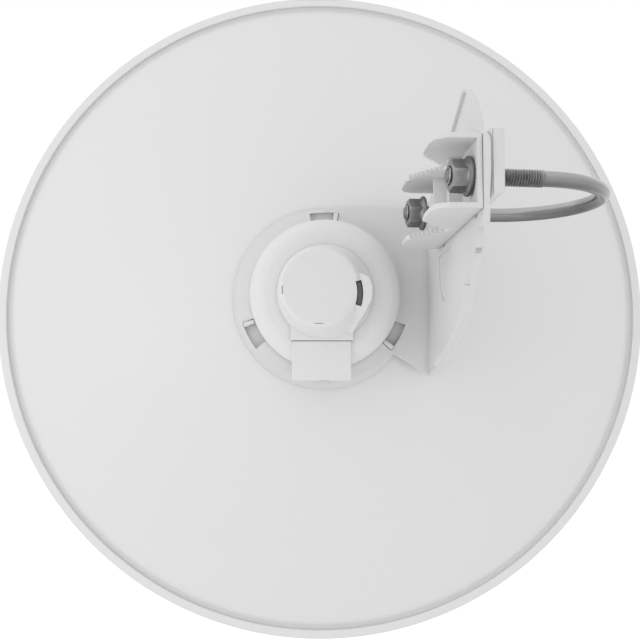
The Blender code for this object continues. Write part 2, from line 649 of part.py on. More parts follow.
def make_flange_nut(name, frame, centre):
    """A hexagon nut on a round flange, bored to clear the thread."""
    flange_back = NUT_FACE_X - NUT_FLANGE_THICKNESS
    nut_back = NUT_FACE_X - NUT_HEIGHT
    flange = round_bar(NUT_FLANGE_RADIUS, flange_back, NUT_FACE_X, "X", centre)
    nut = add_object(name, flange, frame, ZINC_STEEL)
    quarter = math.pi / 2
    hexagon = circle_points(NUT_ACROSS_FLATS / math.sqrt(3), 6, centre, quarter, quarter + 2 * math.pi)
    body = extruded(hexagon, "X", nut_back, flange_back + NUT_FLANGE_THICKNESS / 2)
    combine(nut, add_object(f"{name}_hexagon", body, frame), "UNION")
    low, high = nut_back - CUT_MARGIN, NUT_FACE_X + CUT_MARGIN
    bore = round_bar(THREAD_RADIUS + BORE_CLEARANCE, low, high, "X", centre)
    combine(nut, add_object(f"{name}_bore", bore, frame), "DIFFERENCE")


def main():
    clear_scene()
    clamp_frame = add_empty("clamp_frame", None, (0.0, 0.0, 0.0), CLAMP_YAW)
    u_bolt_frame = add_empty("u_bolt_frame", clamp_frame, (0.0, 0.0, 0.0), U_BOLT_YAW)
    tilt_frame = add_empty("tilt_frame", None, (0.0, 0.0, 0.0), CLAMP_YAW)
    square = Matrix.Rotation(-CLAMP_YAW, 3, "Z")
    dish_frame = add_empty("dish_frame", tilt_frame, square @ DISH_CENTRE, -CLAMP_YAW)
    make_pole_jaw(clamp_frame)
    make_toothed_clamp(clamp_frame)
    make_u_bolt(u_bolt_frame)
    make_reflector(dish_frame)
    make_mounting_bracket(dish_frame, tilt_frame)
    make_lock_tabs(dish_frame)
    make_rear_housing(dish_frame)
    make_boss(dish_frame)
    make_port_cover(dish_frame)
    make_feed(dish_frame)


main()
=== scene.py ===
"""Wireless dish antenna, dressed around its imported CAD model.

All sizes are in metres in the CAD frame: the origin is on the clamp's flat pole face, +X points
to the pole, +Y along the dish's boresight and +Z up. Pieces are built in one of three local
frames (the dish's rim centre, the clamp, or the U-bolt) and placed by their vertices.
"""

import logging
import math
from dataclasses import dataclass
from enum import Enum
from typing import Any, Iterable, Optional, Sequence, Union

import bmesh
import bpy
from mathutils import Matrix, Vector


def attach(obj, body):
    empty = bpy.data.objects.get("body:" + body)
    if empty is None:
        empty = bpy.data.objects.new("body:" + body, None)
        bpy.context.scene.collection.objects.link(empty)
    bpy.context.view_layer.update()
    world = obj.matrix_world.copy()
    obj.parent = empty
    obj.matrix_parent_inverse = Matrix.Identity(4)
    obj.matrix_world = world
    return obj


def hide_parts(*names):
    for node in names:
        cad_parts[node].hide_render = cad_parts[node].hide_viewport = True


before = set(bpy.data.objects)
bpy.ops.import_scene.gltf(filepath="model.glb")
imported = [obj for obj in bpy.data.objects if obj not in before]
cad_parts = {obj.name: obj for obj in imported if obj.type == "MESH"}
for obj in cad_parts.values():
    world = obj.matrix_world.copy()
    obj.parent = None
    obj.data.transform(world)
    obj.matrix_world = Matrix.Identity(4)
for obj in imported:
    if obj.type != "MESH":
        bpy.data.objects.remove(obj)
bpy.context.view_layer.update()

LOG = logging.getLogger("dish_antenna")

Mesh = bpy.types.Mesh
Material = bpy.types.Material
Socket = bpy.types.NodeSocket
Tree = bpy.types.NodeTree
Point = tuple[float, float]
Corner = tuple[float, ...]
Outline = list[Point]
Colour = tuple[float, float, float]
Value = Union[float, int, str, tuple, Socket, Material, list]
Inputs = dict[Any, Value]

MERGE_DISTANCE = 1e-7
WELD_DISTANCE = 1e-6
SHARP_ANGLE = math.radians(32)
ARC_STEP = math.radians(11)
FILLET_SHARE = 0.48
QUARTER = math.radians(90)
DISH_CENTRE = Vector((-0.0718, 0.170, -0.038))
CLAMP_YAW = math.radians(1.7)
U_BOLT_YAW = math.radians(4.8)


class Axis(Enum):
    """Direction of an extrusion, with the order of an outline's two values."""

    X = (2, 0, 1)
    Y = (0, 2, 1)
    Z = (0, 1, 2)

    def point(self, u: float, v: float, w: float) -> Vector:
        """Place outline values u and v, and w along the axis."""
        values = (u, v, w)
        return Vector(values[index] for index in self.value)


class Body(Enum):
    """The CAD bodies that pieces ride on."""

    POLE_CLAMP = "pole_clamp"
    ANTENNA = "antenna"


class Slot(Enum):
    """The record's material slots."""

    REFLECTOR = "reflector_white"
    HOUSING = "housing_white"
    BRACKET = "bracket_white"
    DISC = "disc_grey"
    WINDOW = "dark_window"
    STEEL = "zinc_steel"
    RUBBER = "grommet_rubber"


class Place(Enum):
    """Local frames that pieces are built in, with the CAD body that each frame's pieces ride on."""

    DISH = (Matrix.Translation(DISH_CENTRE).freeze(), Body.ANTENNA)
    CLAMP = (Matrix.Rotation(CLAMP_YAW, 4, "Z").freeze(), Body.POLE_CLAMP)
    U_BOLT = (Matrix.Rotation(CLAMP_YAW + U_BOLT_YAW, 4, "Z").freeze(), Body.POLE_CLAMP)

    def __init__(self, matrix: Matrix, body: Body) -> None:
        """Args: matrix: from the local frame to the CAD frame. body: the body."""
        self.matrix = matrix
        self.body = body


class Nodes:
    """Short calls to lay out any node tree."""

    def __init__(self, tree: Tree) -> None:
        """Args: tree: the tree that nodes are added to."""
        self.tree = tree

    def feed(self, socket: Socket, value: Value) -> None:
        """Link a socket, or set its value.

        Args:
            socket: the input to fill.
            value: an output socket, a list of them, or a plain value.
        """
        for source in value if isinstance(value, list) else [value]:
            if isinstance(source, Socket):
                self.tree.links.new(source, socket)
            else:
                socket.default_value = source

    def fill(self, node: bpy.types.Node, inputs: Inputs) -> None:
        """Feed a node's inputs, by name or number."""
        for key, value in inputs.items():
            self.feed(node.inputs[key], value)

    def node(self, kind: str, inputs: Optional[Inputs] = None, **settings: Any) -> bpy.types.Node:
        """Add a node.

        Args:
            kind: the node's type name.
            inputs: values by input name or number.
            settings: the node's own properties.

        Returns:
            The new node.
        """
        made = self.tree.nodes.new(kind)
        for key, value in settings.items():
            setattr(made, key, value)
        self.fill(made, inputs or {})
        return made

    def geo(self, kind: str, inputs: Optional[Inputs] = None, output: Any = 0, **settings: Any) -> Socket:
        """Add a geometry node, named without its prefix, and return one of its outputs."""
        return self.node(f"GeometryNode{kind}", inputs, **settings).outputs[output]

    def shade(self, kind: str, inputs: Optional[Inputs] = None, output: Any = 0, **settings: Any) -> Socket:
        """Add a shader node, named without its prefix, and return one of its outputs."""
        return self.node(f"ShaderNode{kind}", inputs, **settings).outputs[output]

    def calc(self, operation: str, *values: Value) -> Socket:
        """Add a Math node and return its result."""
        return self.shade("Math", dict(enumerate(values)), operation=operation)

    def vector(self, x: Value, y: Value, z: Value) -> Socket:
        """Combine three values into a vector."""
        return self.shade("CombineXYZ", {"X": x, "Y": y, "Z": z})

    def scaled(self, vector: Value, gain: Value) -> Socket:
        """Multiply a vector or a colour by a value."""
        return self.shade("VectorMath", {0: vector, "Scale": gain}, operation="SCALE")

    def mix(self, share: Value, low: Value, high: Value) -> Socket:
        """Mix two colours, by the share of the second."""
        return self.shade("Mix", {0: share, 6: low, 7: high}, 2, data_type="RGBA")

    def noise(self, scale: Value, detail: float, roughness: float = 0.5) -> Socket:
        """A noise between 0 and 1 over the object's own coordinates."""
        place = self.shade("TexCoord", output="Object")
        inputs = {"Vector": place, "Scale": scale, "Detail": detail, "Roughness": roughness}
        return self.shade("TexNoise", inputs)

    def ramp(self, value: Value, low: float, high: float, top: float = 1.0) -> Socket:
        """Map the range from low to high onto 0 to top, held at both ends."""
        return self.shade("MapRange", {"Value": value, "From Min": low, "From Max": high, "To Max": top})


class Group(Nodes):
    """A node group with named inputs and outputs."""

    def __init__(self, name: str, kind: str) -> None:
        """Args: name: the group's name. kind: the node tree type."""
        super().__init__(bpy.data.node_groups.new(name, kind))
        self.start = self.tree.nodes.new("NodeGroupInput")
        self.end = self.tree.nodes.new("NodeGroupOutput")

    def takes(self, **kinds: str) -> list[Socket]:
        """Add inputs to the group.

        Args:
            kinds: the kind of each input by its name, with _ for a space.

        Returns:
            Their sockets inside the group.
        """
        names = [name.replace("_", " ") for name in kinds]
        for name, kind in zip(names, kinds.values()):
            self.tree.interface.new_socket(name, in_out="INPUT", socket_type=f"NodeSocket{kind}")
        return [self.start.outputs[name] for name in names]

    def gives(self, name: str, kind: str, source: Socket) -> None:
        """Add a named output and link it."""
        self.tree.interface.new_socket(name, in_out="OUTPUT", socket_type=f"NodeSocket{kind}")
        self.tree.links.new(source, self.end.inputs[name])


class GeometryTrees:
    """The geometry trees that make turned, swept, threaded and repeated shapes."""

    KIND = "GeometryNodeTree"
    AXIS_RADIUS = 0.001

    def __init__(self) -> None:
        """Build each tree once."""
        self.revolve = self._revolve()
        self.turned_part = self._turned_part()
        self.parabolic_dish = self._parabolic_dish()
        self.round_rod = self._round_rod()
        self.screw_thread = self._screw_thread()
        self.row_of = self._row_of()
        self.ring_of = self._ring_of()

    @staticmethod
    def _finish(group: Group, shape: Socket, smooth: bool = True) -> Tree:
        """End a tree in Realize Instances and Set Material.

        Args:
            group: the tree.
            shape: the geometry made so far.
            smooth: whether its faces are shaded smooth.

        Returns:
            The finished tree.
        """
        [material] = group.takes(Material="Material")
        real = group.geo("RealizeInstances", {0: shape})
        shaded = group.geo("SetShadeSmooth", {"Geometry": real, "Shade Smooth": smooth})
        dressed = group.geo("SetMaterial", {"Geometry": shaded, "Material": material})
        group.gives("Geometry", "Geometry", dressed)
        return group.tree

    @staticmethod
    def _swept(group: Group, curve: Socket, section: Socket, caps: bool = False) -> Socket:
        """Sweep a section along a curve."""
        return group.geo("CurveToMesh", {"Curve": curve, "Profile Curve": section, "Fill Caps": caps})

    def _revolve(self) -> Tree:
        """Sweep an outline of (radius, y) edges once round the Y axis."""
        group = Group("revolve_about_y", self.KIND)
        outline, segments = group.takes(Outline="Geometry", Segments="Int")
        inwards = {"Geometry": outline, "Translation": (-self.AXIS_RADIUS, 0.0, 0.0)}
        section = group.geo("MeshToCurve", {"Mesh": group.geo("Transform", inwards)})
        ring = group.geo("CurvePrimitiveCircle", {"Resolution": segments, "Radius": self.AXIS_RADIUS})
        swept = self._swept(group, ring, section)
        turned = group.geo("Transform", {"Geometry": swept, "Rotation": (QUARTER, 0.0, 0.0)})
        welded = group.geo("MergeByDistance", {"Geometry": turned, "Distance": WELD_DISTANCE})
        group.gives("Geometry", "Geometry", welded)
        return group.tree

    def _revolved(self, group: Group, outline: Socket) -> Socket:
        """Place the revolve group in a tree, with a Segments input of the tree's own."""
        [segments] = group.takes(Segments="Int")
        return group.geo("Group", {"Outline": outline, "Segments": segments}, node_tree=self.revolve)

    def _turned_part(self) -> Tree:
        """Turn the object's own edges about the Y axis."""
        group = Group("turned_part", self.KIND)
        [outline] = group.takes(Geometry="Geometry")
        return self._finish(group, self._revolved(group, outline))

    def _parabolic_dish(self) -> Tree:
        """A sheet bowl by the rule y = r^2 / 4f - depth, joined to the rim in the object's own edges."""
        group = Group("parabolic_dish", self.KIND)
        rim, focal, depth, hole, bowl, sheet, rings = group.takes(
            Geometry="Geometry", Focal_Length="Float", Depth="Float", Hole_Radius="Float",
            Bowl_Radius="Float", Sheet="Float", Rings="Int",
        )

        def line(count: Value) -> tuple[Socket, Socket]:
            """A straight row of points from 0 to 1 in X, with the X value of each."""
            row = group.geo("MeshLine", {"Count": count, "Offset": (1.0, 0.0, 0.0)}, mode="END_POINTS")
            return row, group.shade("SeparateXYZ", {0: group.geo("InputPosition")}, "X")

        def height(radius: Socket) -> Socket:
            """The paraboloid's rule."""
            squared = group.calc("MULTIPLY", radius, radius)
            rise = group.calc("DIVIDE", squared, group.calc("MULTIPLY", focal, 4.0))
            return group.calc("SUBTRACT", rise, depth)

        row, share = line(rings)
        radius = group.calc("MULTIPLY_ADD", share, group.calc("SUBTRACT", bowl, hole), hole)
        curve = group.vector(radius, height(radius), 0.0)
        back = group.geo("SetPosition", {"Geometry": row, "Position": curve})
        front = group.geo("Transform", {"Geometry": back, "Translation": group.vector(0.0, sheet, 0.0)})
        row, share = line(2)
        edge = group.vector(hole, group.calc("MULTIPLY_ADD", share, sheet, height(hole)), 0.0)
        lip = group.geo("SetPosition", {"Geometry": row, "Position": edge})
        joined = group.geo("JoinGeometry", {0: [rim, back, front, lip]})
        loop = group.geo("MergeByDistance", {"Geometry": joined, "Distance": WELD_DISTANCE})
        return self._finish(group, self._revolved(group, loop))

    def _round_rod(self) -> Tree:
        """A closed round bar along the object's own edges."""
        group = Group("round_rod", self.KIND)
        path, radius, sides = group.takes(Geometry="Geometry", Radius="Float", Sides="Int")
        section = group.geo("CurvePrimitiveCircle", {"Resolution": sides, "Radius": radius})
        curve = group.geo("MeshToCurve", {"Mesh": path})
        return self._finish(group, self._swept(group, curve, section, caps=True))

    def _screw_thread(self) -> Tree:
        """A helical ridge round a core, along X from the object's own origin."""
        group = Group("screw_thread", self.KIND)
        _, start, length, core, crest, pitch, sides = group.takes(
            Geometry="Geometry", Start="Float", Length="Float", Core_Radius="Float",
            Crest_Height="Float", Pitch="Float", Sides="Int",
        )
        helix = group.geo("CurveSpiral", {
            "Resolution": sides, "Rotations": group.calc("DIVIDE", length, pitch),
            "Start Radius": core, "End Radius": core, "Height": length,
        })
        section = group.geo("CurvePrimitiveCircle", {"Resolution": 4, "Radius": crest})
        upright = group.geo("SetCurveNormal", {"Curve": helix}, mode="Z_UP")
        ridge = self._swept(group, upright, section, caps=True)
        rod = group.geo("MeshCylinder", {"Vertices": sides, "Radius": core, "Depth": length})
        centred = group.vector(0.0, 0.0, group.calc("MULTIPLY", length, 0.5))
        lifted = group.geo("Transform", {"Geometry": rod, "Translation": centred})
        both = group.geo("JoinGeometry", {0: [ridge, lifted]})
        placed = group.geo("Transform", {
            "Geometry": both, "Rotation": (0.0, QUARTER, 0.0), "Translation": group.vector(start, 0.0, 0.0),
        })
        return self._finish(group, placed)

    def _row_of(self) -> Tree:
        """Copies of the object's own shape at even steps between two points."""
        group = Group("row_of", self.KIND)
        shape, first, last, count = group.takes(
            Geometry="Geometry", First="Vector", Last="Vector", Count="Int"
        )
        ends = {"Count": count, "Start Location": first, "Offset": last}
        row = group.geo("MeshLine", ends, mode="END_POINTS")
        copies = group.geo("InstanceOnPoints", {"Points": row, "Instance": shape})
        return self._finish(group, copies, smooth=False)

    def _ring_of(self) -> Tree:
        """Copies of the object's own shape, turned about the Y axis at even angles."""
        group = Group("ring_of", self.KIND)
        shape, count = group.takes(Geometry="Geometry", Count="Int")
        points = group.geo("MeshLine", {"Count": count, "Offset": (0.0, 0.0, 0.0)}, mode="OFFSET")
        step = group.calc("DIVIDE", math.tau, count)
        turn = group.vector(0.0, group.calc("MULTIPLY", group.geo("InputIndex"), step), 0.0)
        copies = group.geo("InstanceOnPoints", {"Points": points, "Instance": shape, "Rotation": turn})
        return self._finish(group, copies, smooth=False)


def rounded(corners: Sequence[Corner], closed: bool = True) -> Outline:
    """Turn corners into an outline with filleted corners.

    Args:
        corners: (u, v) or (u, v, fillet radius) for each corner.
        closed: whether the last corner joins the first.

    Returns:
        The outline's points.
    """
    points: Outline = []
    for index, corner in enumerate(corners):
        here = Vector(corner[:2])
        radius = corner[2] if len(corner) > 2 else 0.0
        if radius == 0.0 or (not closed and index in (0, len(corners) - 1)):
            points.append((here.x, here.y))
            continue
        back = Vector(corners[index - 1][:2]) - here
        ahead = Vector(corners[(index + 1) % len(corners)][:2]) - here
        half = back.angle(ahead) / 2
        reach = min(radius / math.tan(half), back.length * FILLET_SHARE, ahead.length * FILLET_SHARE)
        radius = reach * math.tan(half)
        centre = here + (back.normalized() + ahead.normalized()).normalized() * (radius / math.sin(half))
        first = here + back.normalized() * reach - centre
        last = here + ahead.normalized() * reach - centre
        start = math.atan2(first.y, first.x)
        turn = (math.atan2(last.y, last.x) - start + math.pi) % math.tau - math.pi
        steps = max(2, math.ceil(abs(turn) / ARC_STEP))
        for step in range(steps + 1):
            angle = start + turn * step / steps
            points.append((centre.x + radius * math.cos(angle), centre.y + radius * math.sin(angle)))
    return points


def arc(radius: float, first: float, last: float, steps: int, centre: Point = (0.0, 0.0)) -> Outline:
    """Points on an arc, with its angles in degrees."""
    angles = [math.radians(first + (last - first) * step / steps) for step in range(steps + 1)]
    return [(centre[0] + radius * math.cos(a), centre[1] + radius * math.sin(a)) for a in angles]


def circle(radius: float, steps: int = 64, centre: Point = (0.0, 0.0)) -> Outline:
    """Points on a full circle."""
    return arc(radius, 0.0, 360.0, steps, centre)[:-1]


def edge_mesh(points: Iterable[Sequence[float]], closed: bool) -> Mesh:
    """A mesh of edges only, through the points."""
    places = [(*point, 0.0)[:3] for point in points]
    edges = [(index, index + 1) for index in range(len(places) - 1)]
    if closed:
        edges.append((len(places) - 1, 0))
    mesh = bpy.data.meshes.new("outline")
    mesh.from_pydata(places, edges, [])
    return mesh


def written(shape: bmesh.types.BMesh, mesh: Optional[Mesh] = None) -> Mesh:
    """Write a working shape to a mesh, a new one unless given, and free the shape."""
    mesh = mesh or bpy.data.meshes.new("shape")
    shape.to_mesh(mesh)
    shape.free()
    return mesh


def softened(shape: bmesh.types.BMesh, edges: Iterable[bmesh.types.BMEdge], radius: float) -> Mesh:
    """Round edges of a working shape, or none where the radius is 0, and write it to a mesh."""
    if radius:
        bmesh.ops.bevel(shape, geom=list(edges), offset=radius, segments=2, profile=0.5, affect="EDGES")
    return written(shape)


def slab(outline: Outline, axis: Axis, low: float, high: float, edge: float = 0.0) -> Mesh:
    """Extrude a closed outline, with rounded rims.

    Args:
        outline: the section.
        axis: the direction of the extrusion.
        low: its start along the axis.
        high: its end.
        edge: the rims' radius, or 0 for sharp rims.

    Returns:
        A closed mesh.
    """
    shape = bmesh.new()
    face = shape.faces.new([shape.verts.new(axis.point(u, v, low)) for u, v in outline])
    grown = bmesh.ops.extrude_face_region(shape, geom=[face])["geom"]
    far = [item for item in grown if isinstance(item, bmesh.types.BMVert)]
    bmesh.ops.translate(shape, vec=axis.point(0.0, 0.0, high - low), verts=far)
    bmesh.ops.recalc_face_normals(shape, faces=shape.faces)
    caps = [face for face in shape.faces if len(face.verts) == len(outline)]
    return softened(shape, {rim for cap in caps for rim in cap.edges}, edge)


def block(low: Sequence[float], high: Sequence[float], edge: float = 0.0) -> Mesh:
    """A box with every edge rounded, or sharp where edge is 0."""
    shape = bmesh.new()
    bmesh.ops.create_cube(shape, size=1.0)
    bmesh.ops.scale(shape, vec=Vector(high) - Vector(low), verts=shape.verts)
    bmesh.ops.translate(shape, vec=(Vector(high) + Vector(low)) / 2, verts=shape.verts)
    return softened(shape, shape.edges, edge)


class Workshop:
    """Makes meshes with geometry trees and modifiers, and turns them into pieces that ride."""

    def __init__(self, trees: GeometryTrees) -> None:
        """Args: trees: the geometry trees to use."""
        self.trees = trees
        self.count = 0

    @staticmethod
    def _holder(mesh: Mesh) -> bpy.types.Object:
        """A short-lived object that carries a mesh."""
        holder = bpy.data.objects.new("holder", mesh)
        bpy.context.scene.collection.objects.link(holder)
        return holder

    @staticmethod
    def _result(holder: bpy.types.Object) -> Mesh:
        """The evaluated mesh of a holder, which is then removed."""
        graph = bpy.context.evaluated_depsgraph_get()
        mesh = bpy.data.meshes.new_from_object(holder.evaluated_get(graph))
        bpy.data.objects.remove(holder)
        return mesh

    def grow(self, source: Mesh, tree: Tree, **sizes: Any) -> Mesh:
        """Run a geometry tree on a mesh.

        Args:
            source: the mesh that enters the tree.
            tree: the tree.
            sizes: its inputs by name, with _ for a space.

        Returns:
            The plain mesh that leaves it.
        """
        holder = self._holder(source)
        modifier = holder.modifiers.new("tree", "NODES")
        modifier.node_group = tree
        sockets = tree.interface.items_tree
        keys = {socket.name: socket.identifier for socket in sockets if socket.in_out == "INPUT"}
        for name, value in sizes.items():
            modifier[keys[name.replace("_", " ")]] = value
        return self._result(holder)

    def turned(self, outline: Outline, closed: bool = False, segments: int = 96) -> Mesh:
        """Turn an outline of (radius, y) about the Y axis."""
        return self.grow(edge_mesh(outline, closed), self.trees.turned_part, Segments=segments)

    def combine(self, base: Mesh, operation: str, *others: Mesh) -> Mesh:
        """Join others to a mesh, or cut them from it.

        Args:
            base: the mesh to change.
            operation: UNION, DIFFERENCE or INTERSECT.
            others: closed meshes.

        Returns:
            The combined mesh.
        """
        holder = self._holder(repaired(base))
        tools = [self._holder(repaired(other)) for other in others]
        for tool in tools:
            modifier = holder.modifiers.new("combine", "BOOLEAN")
            modifier.operation = operation
            modifier.solver = "EXACT"
            modifier.object = tool
        mesh = self._result(holder)
        for tool in tools:
            bpy.data.objects.remove(tool)
        return mesh

    def piece(self, name: str, mesh: Mesh, material: Material, slot: Slot, place: Place, *nodes: str) -> None:
        """Turn a mesh into a finished piece of the object.

        Args:
            name: the piece's name.
            mesh: its shape in the local frame.
            material: its finish.
            slot: the record's slot for its finish; not used.
            place: the local frame.
            nodes: the CAD nodes that it replaces.
        """
        mesh.transform(place.matrix)
        mesh = repaired(mesh)
        mesh.shade_smooth()
        mesh.set_sharp_from_angle(angle=SHARP_ANGLE)
        holder = self._holder(mesh)
        holder.modifiers.new("flats", "WEIGHTED_NORMAL").keep_sharp = True
        mesh = self._result(holder)
        mesh.name = name
        mesh.materials.clear()
        mesh.materials.append(material)
        made = bpy.data.objects.new(name, mesh)
        bpy.context.scene.collection.objects.link(made)
        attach(made, place.body.value)
        if nodes:
            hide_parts(*nodes)
        self.count += 1
        LOG.info("%-18s %6d faces on %s", name, len(mesh.polygons), place.body.value)


def repaired(mesh: Mesh) -> Mesh:
    """Merge doubles and turn the faces outwards."""
    shape = bmesh.new()
    shape.from_mesh(mesh)
    bmesh.ops.remove_doubles(shape, verts=shape.verts, dist=MERGE_DISTANCE)
    bmesh.ops.dissolve_degenerate(shape, edges=shape.edges, dist=MERGE_DISTANCE)
    bmesh.ops.recalc_face_normals(shape, faces=shape.faces)
    return written(shape, mesh)


def merged(*meshes: Mesh) -> Mesh:
    """Put closed meshes in one mesh without cutting them."""
    shape = bmesh.new()
    for mesh in meshes:
        shape.from_mesh(mesh)
    return written(shape)


class ShaderGroups:
    """Effects that more than one finish uses."""

    KIND = "ShaderNodeTree"

    def __init__(self) -> None:
        """Build each group once."""
        self.surface_grain = self._surface_grain()
        self.crevice_shade = self._crevice_shade()
        self.tone_drift = self._tone_drift()

    def _surface_grain(self) -> Tree:
        """Fine grain on a slow waviness as a normal, and the grain alone as a mask."""
        group = Group("surface_grain", self.KIND)
        scale, wave_scale, grain, waviness = group.takes(
            Scale="Float", Wave_Scale="Float", Grain="Float", Waviness="Float"
        )
        fine = group.noise(scale, 3.0, 0.6)
        waves = group.calc("MULTIPLY", group.noise(wave_scale, 1.5), waviness)
        height = group.calc("ADD", group.calc("MULTIPLY", fine, grain), waves)
        bump = group.shade("Bump", {"Height": height, "Strength": 1.0, "Distance": 0.001})
        group.gives("Normal", "Vector", bump)
        group.gives("Mask", "Float", fine)
        return group.tree

    def _crevice_shade(self) -> Tree:
        """A mask of hollows and joints for painted shade, 1 in the open and 0 where they are deep."""
        group = Group("crevice_shade", self.KIND)
        reach, power = group.takes(Reach="Float", Power="Float")
        hollow = group.shade("AmbientOcclusion", {"Distance": reach}, "AO", samples=8)
        group.gives("Mask", "Float", group.calc("POWER", hollow, power))
        return group.tree

    def _tone_drift(self) -> Tree:
        """A colour that drifts a little over the surface, with painted shade in the hollows."""
        group = Group("tone_drift", self.KIND)
        base, deep, drift, scale, open_share = group.takes(
            Base="Color", Deep="Color", Drift="Float", Scale="Float", Open="Float"
        )
        centred = group.calc("SUBTRACT", group.noise(scale, 4.0), 0.5)
        tinted = group.scaled(base, group.calc("MULTIPLY_ADD", centred, drift, 1.0))
        group.gives("Color", "Color", group.mix(open_share, deep, tinted))
        return group.tree


@dataclass(frozen=True)
class Finish:
    """A surface finish with grain, a drift of tone and painted shade in its hollows."""

    name: str
    base: Colour
    # deep is the colour of the painted shade in hollows and joints; reach and hollow_power set its spread and
    # strength.
    deep: Colour
    roughness: float
    roughness_spread: float = 0.06
    metallic: float = 0.0
    coat: float = 0.0
    coat_roughness: float = 0.2
    grain_scale: float = 900.0
    grain: float = 0.05
    wave_scale: float = 40.0
    waviness: float = 0.02
    drift: float = 0.02
    drift_scale: float = 9.0
    reach: float = 0.006
    hollow_power: float = 1.0

    def build(self, groups: ShaderGroups) -> Material:
        """Make the material.

        Args:
            groups: the shared effects.

        Returns:
            The material.
        """
        material = bpy.data.materials.new(self.name)
        material.use_nodes = True
        nodes = Nodes(material.node_tree)
        grain = nodes.node("ShaderNodeGroup", {
            "Scale": self.grain_scale, "Wave Scale": self.wave_scale, "Grain": self.grain,
            "Waviness": self.waviness,
        }, node_tree=groups.surface_grain).outputs
        hollow_inputs = {"Reach": self.reach, "Power": self.hollow_power}
        hollow = nodes.shade("Group", hollow_inputs, "Mask", node_tree=groups.crevice_shade)
        # Painted shade: the tone falls towards the deep colour in hollows and joints.
        tone = nodes.shade("Group", {
            "Base": (*self.base, 1.0), "Deep": (*self.deep, 1.0), "Drift": self.drift,
            "Scale": self.drift_scale, "Open": hollow,
        }, "Color", node_tree=groups.tone_drift)
        centred = nodes.calc("SUBTRACT", grain["Mask"], 0.5)
        nodes.fill(material.node_tree.nodes["Principled BSDF"], {
            "Metallic": self.metallic,
            "Coat Weight": self.coat,
            "Coat Roughness": self.coat_roughness,
            "Roughness": nodes.calc("MULTIPLY_ADD", centred, self.roughness_spread * 2, self.roughness),
            "Base Color": self._colour(nodes, tone),
            "Normal": grain["Normal"],
        })
        return material

    def _colour(self, nodes: Nodes, tone: Socket) -> Socket:
        """The colour that reaches the shader."""
        return tone


@dataclass(frozen=True)
class ZincFinish(Finish):
    """Dark zinc plate, lighter at its convex edges for wear and a painted highlight, with painted shade where
    it faces down.
    """

    # The colour of the convex edges: wear and a painted highlight.
    wear_and_highlight: Colour = (0.62, 0.62, 0.62)
    edge_low: float = 0.52
    edge_high: float = 0.60
    edge_noise: float = 0.06
    edge_noise_scale: float = 350.0
    # Painted shade on faces that point down: how strong, and the normal's slope where it starts and ends.
    underside_shade: float = 0.0
    underside_shade_start: float = 0.35
    underside_shade_end: float = -0.85

    def _colour(self, nodes: Nodes, tone: Socket) -> Socket:
        """Lighten the convex edges, broken up by a noise, for wear and a painted highlight, and darken what
        faces down as painted shade.
        """
        surface = nodes.node("ShaderNodeNewGeometry").outputs
        centred = nodes.calc("SUBTRACT", nodes.noise(self.edge_noise_scale, 3.0), 0.5)
        uneven = nodes.calc("MULTIPLY_ADD", centred, self.edge_noise, surface["Pointiness"])
        # Lighter convex edges: wear and a painted highlight.
        edge = nodes.ramp(uneven, self.edge_low, self.edge_high)
        # Painted shade on the faces that point down.
        upward = nodes.shade("SeparateXYZ", {0: surface["Normal"]}, "Z")
        down = nodes.ramp(upward, self.underside_shade_start, self.underside_shade_end)
        gain = nodes.calc("SUBTRACT", 1.0, nodes.calc("MULTIPLY", down, self.underside_shade))
        return nodes.scaled(nodes.mix(edge, tone, (*self.wear_and_highlight, 1.0)), gain)


def grey(tone: float, blue: float = 0.0) -> Colour:
    """A grey, with a little more blue."""
    return tone, tone, tone + blue


class Palette:
    """Every finish of the antenna, built once."""

    COOL = 0.005

    def __init__(self, groups: ShaderGroups) -> None:
        """Args: groups: the effects that the finishes share."""
        cool = self.COOL
        # Each deep colour below is the painted shade in that finish's hollows and joints.
        self.reflector = Finish(
            "powder_coat", grey(0.80, cool), grey(0.60, cool), 0.50, coat=0.08, grain_scale=1400.0,
            grain=0.03, wave_scale=160.0, waviness=0.012, drift_scale=6.0, reach=0.005,
        ).build(groups)
        self.housing = Finish(
            "satin_plastic", grey(0.80, cool), grey(0.70, cool), 0.42, grain_scale=2200.0, grain=0.02,
            waviness=0.004, drift=0.01, reach=0.0025,
        ).build(groups)
        self.bracket = Finish(
            "matt_plastic", grey(0.72, cool), grey(0.60, cool), 0.55, grain_scale=1800.0,
            waviness=0.01, drift_scale=30.0, reach=0.004,
        ).build(groups)
        self.disc = Finish(
            "smooth_disc", grey(0.79, cool), grey(0.74, cool), 0.30, grain_scale=2600.0, grain=0.01,
            waviness=0.002, drift=0.008, reach=0.0015,
        ).build(groups)
        self.window = Finish(
            "smoked_window", grey(0.10, cool), grey(0.03), 0.18, coat=0.5, grain=0.005, waviness=0.0,
            reach=0.002,
        ).build(groups)
        self.steel = ZincFinish(
            "zinc_rod", grey(0.46, cool), grey(0.12), 0.24, metallic=1.0, grain=0.012, wave_scale=260.0,
            waviness=0.05, drift=0.25, drift_scale=110.0, roughness_spread=0.08, edge_low=0.60,
            edge_high=0.75, underside_shade=0.60,
        ).build(groups)
        # The thread's dark valleys are painted shade from its deep colour.
        self.thread = ZincFinish(
            "rolled_thread", grey(0.24), grey(0.02), 0.30, metallic=1.0, grain=0.02, wave_scale=200.0,
            drift=0.25, drift_scale=160.0, reach=0.0012, hollow_power=2.5, wear_and_highlight=grey(0.75),
            edge_low=0.59, edge_high=0.68, underside_shade=0.45,
        ).build(groups)
        self.nut = ZincFinish(
            "dark_zinc", grey(0.34), grey(0.05), 0.36, metallic=1.0, grain_scale=1200.0, grain=0.04,
            wave_scale=300.0, waviness=0.05, drift=0.35, drift_scale=160.0, roughness_spread=0.15,
            wear_and_highlight=(0.60, 0.595, 0.59), underside_shade=0.35,
        ).build(groups)
        self.rubber = Finish(
            "grommet_rubber", grey(0.58, cool), grey(0.35), 0.70, grain_scale=2600.0, grain=0.08, drift=0.05,
        ).build(groups)


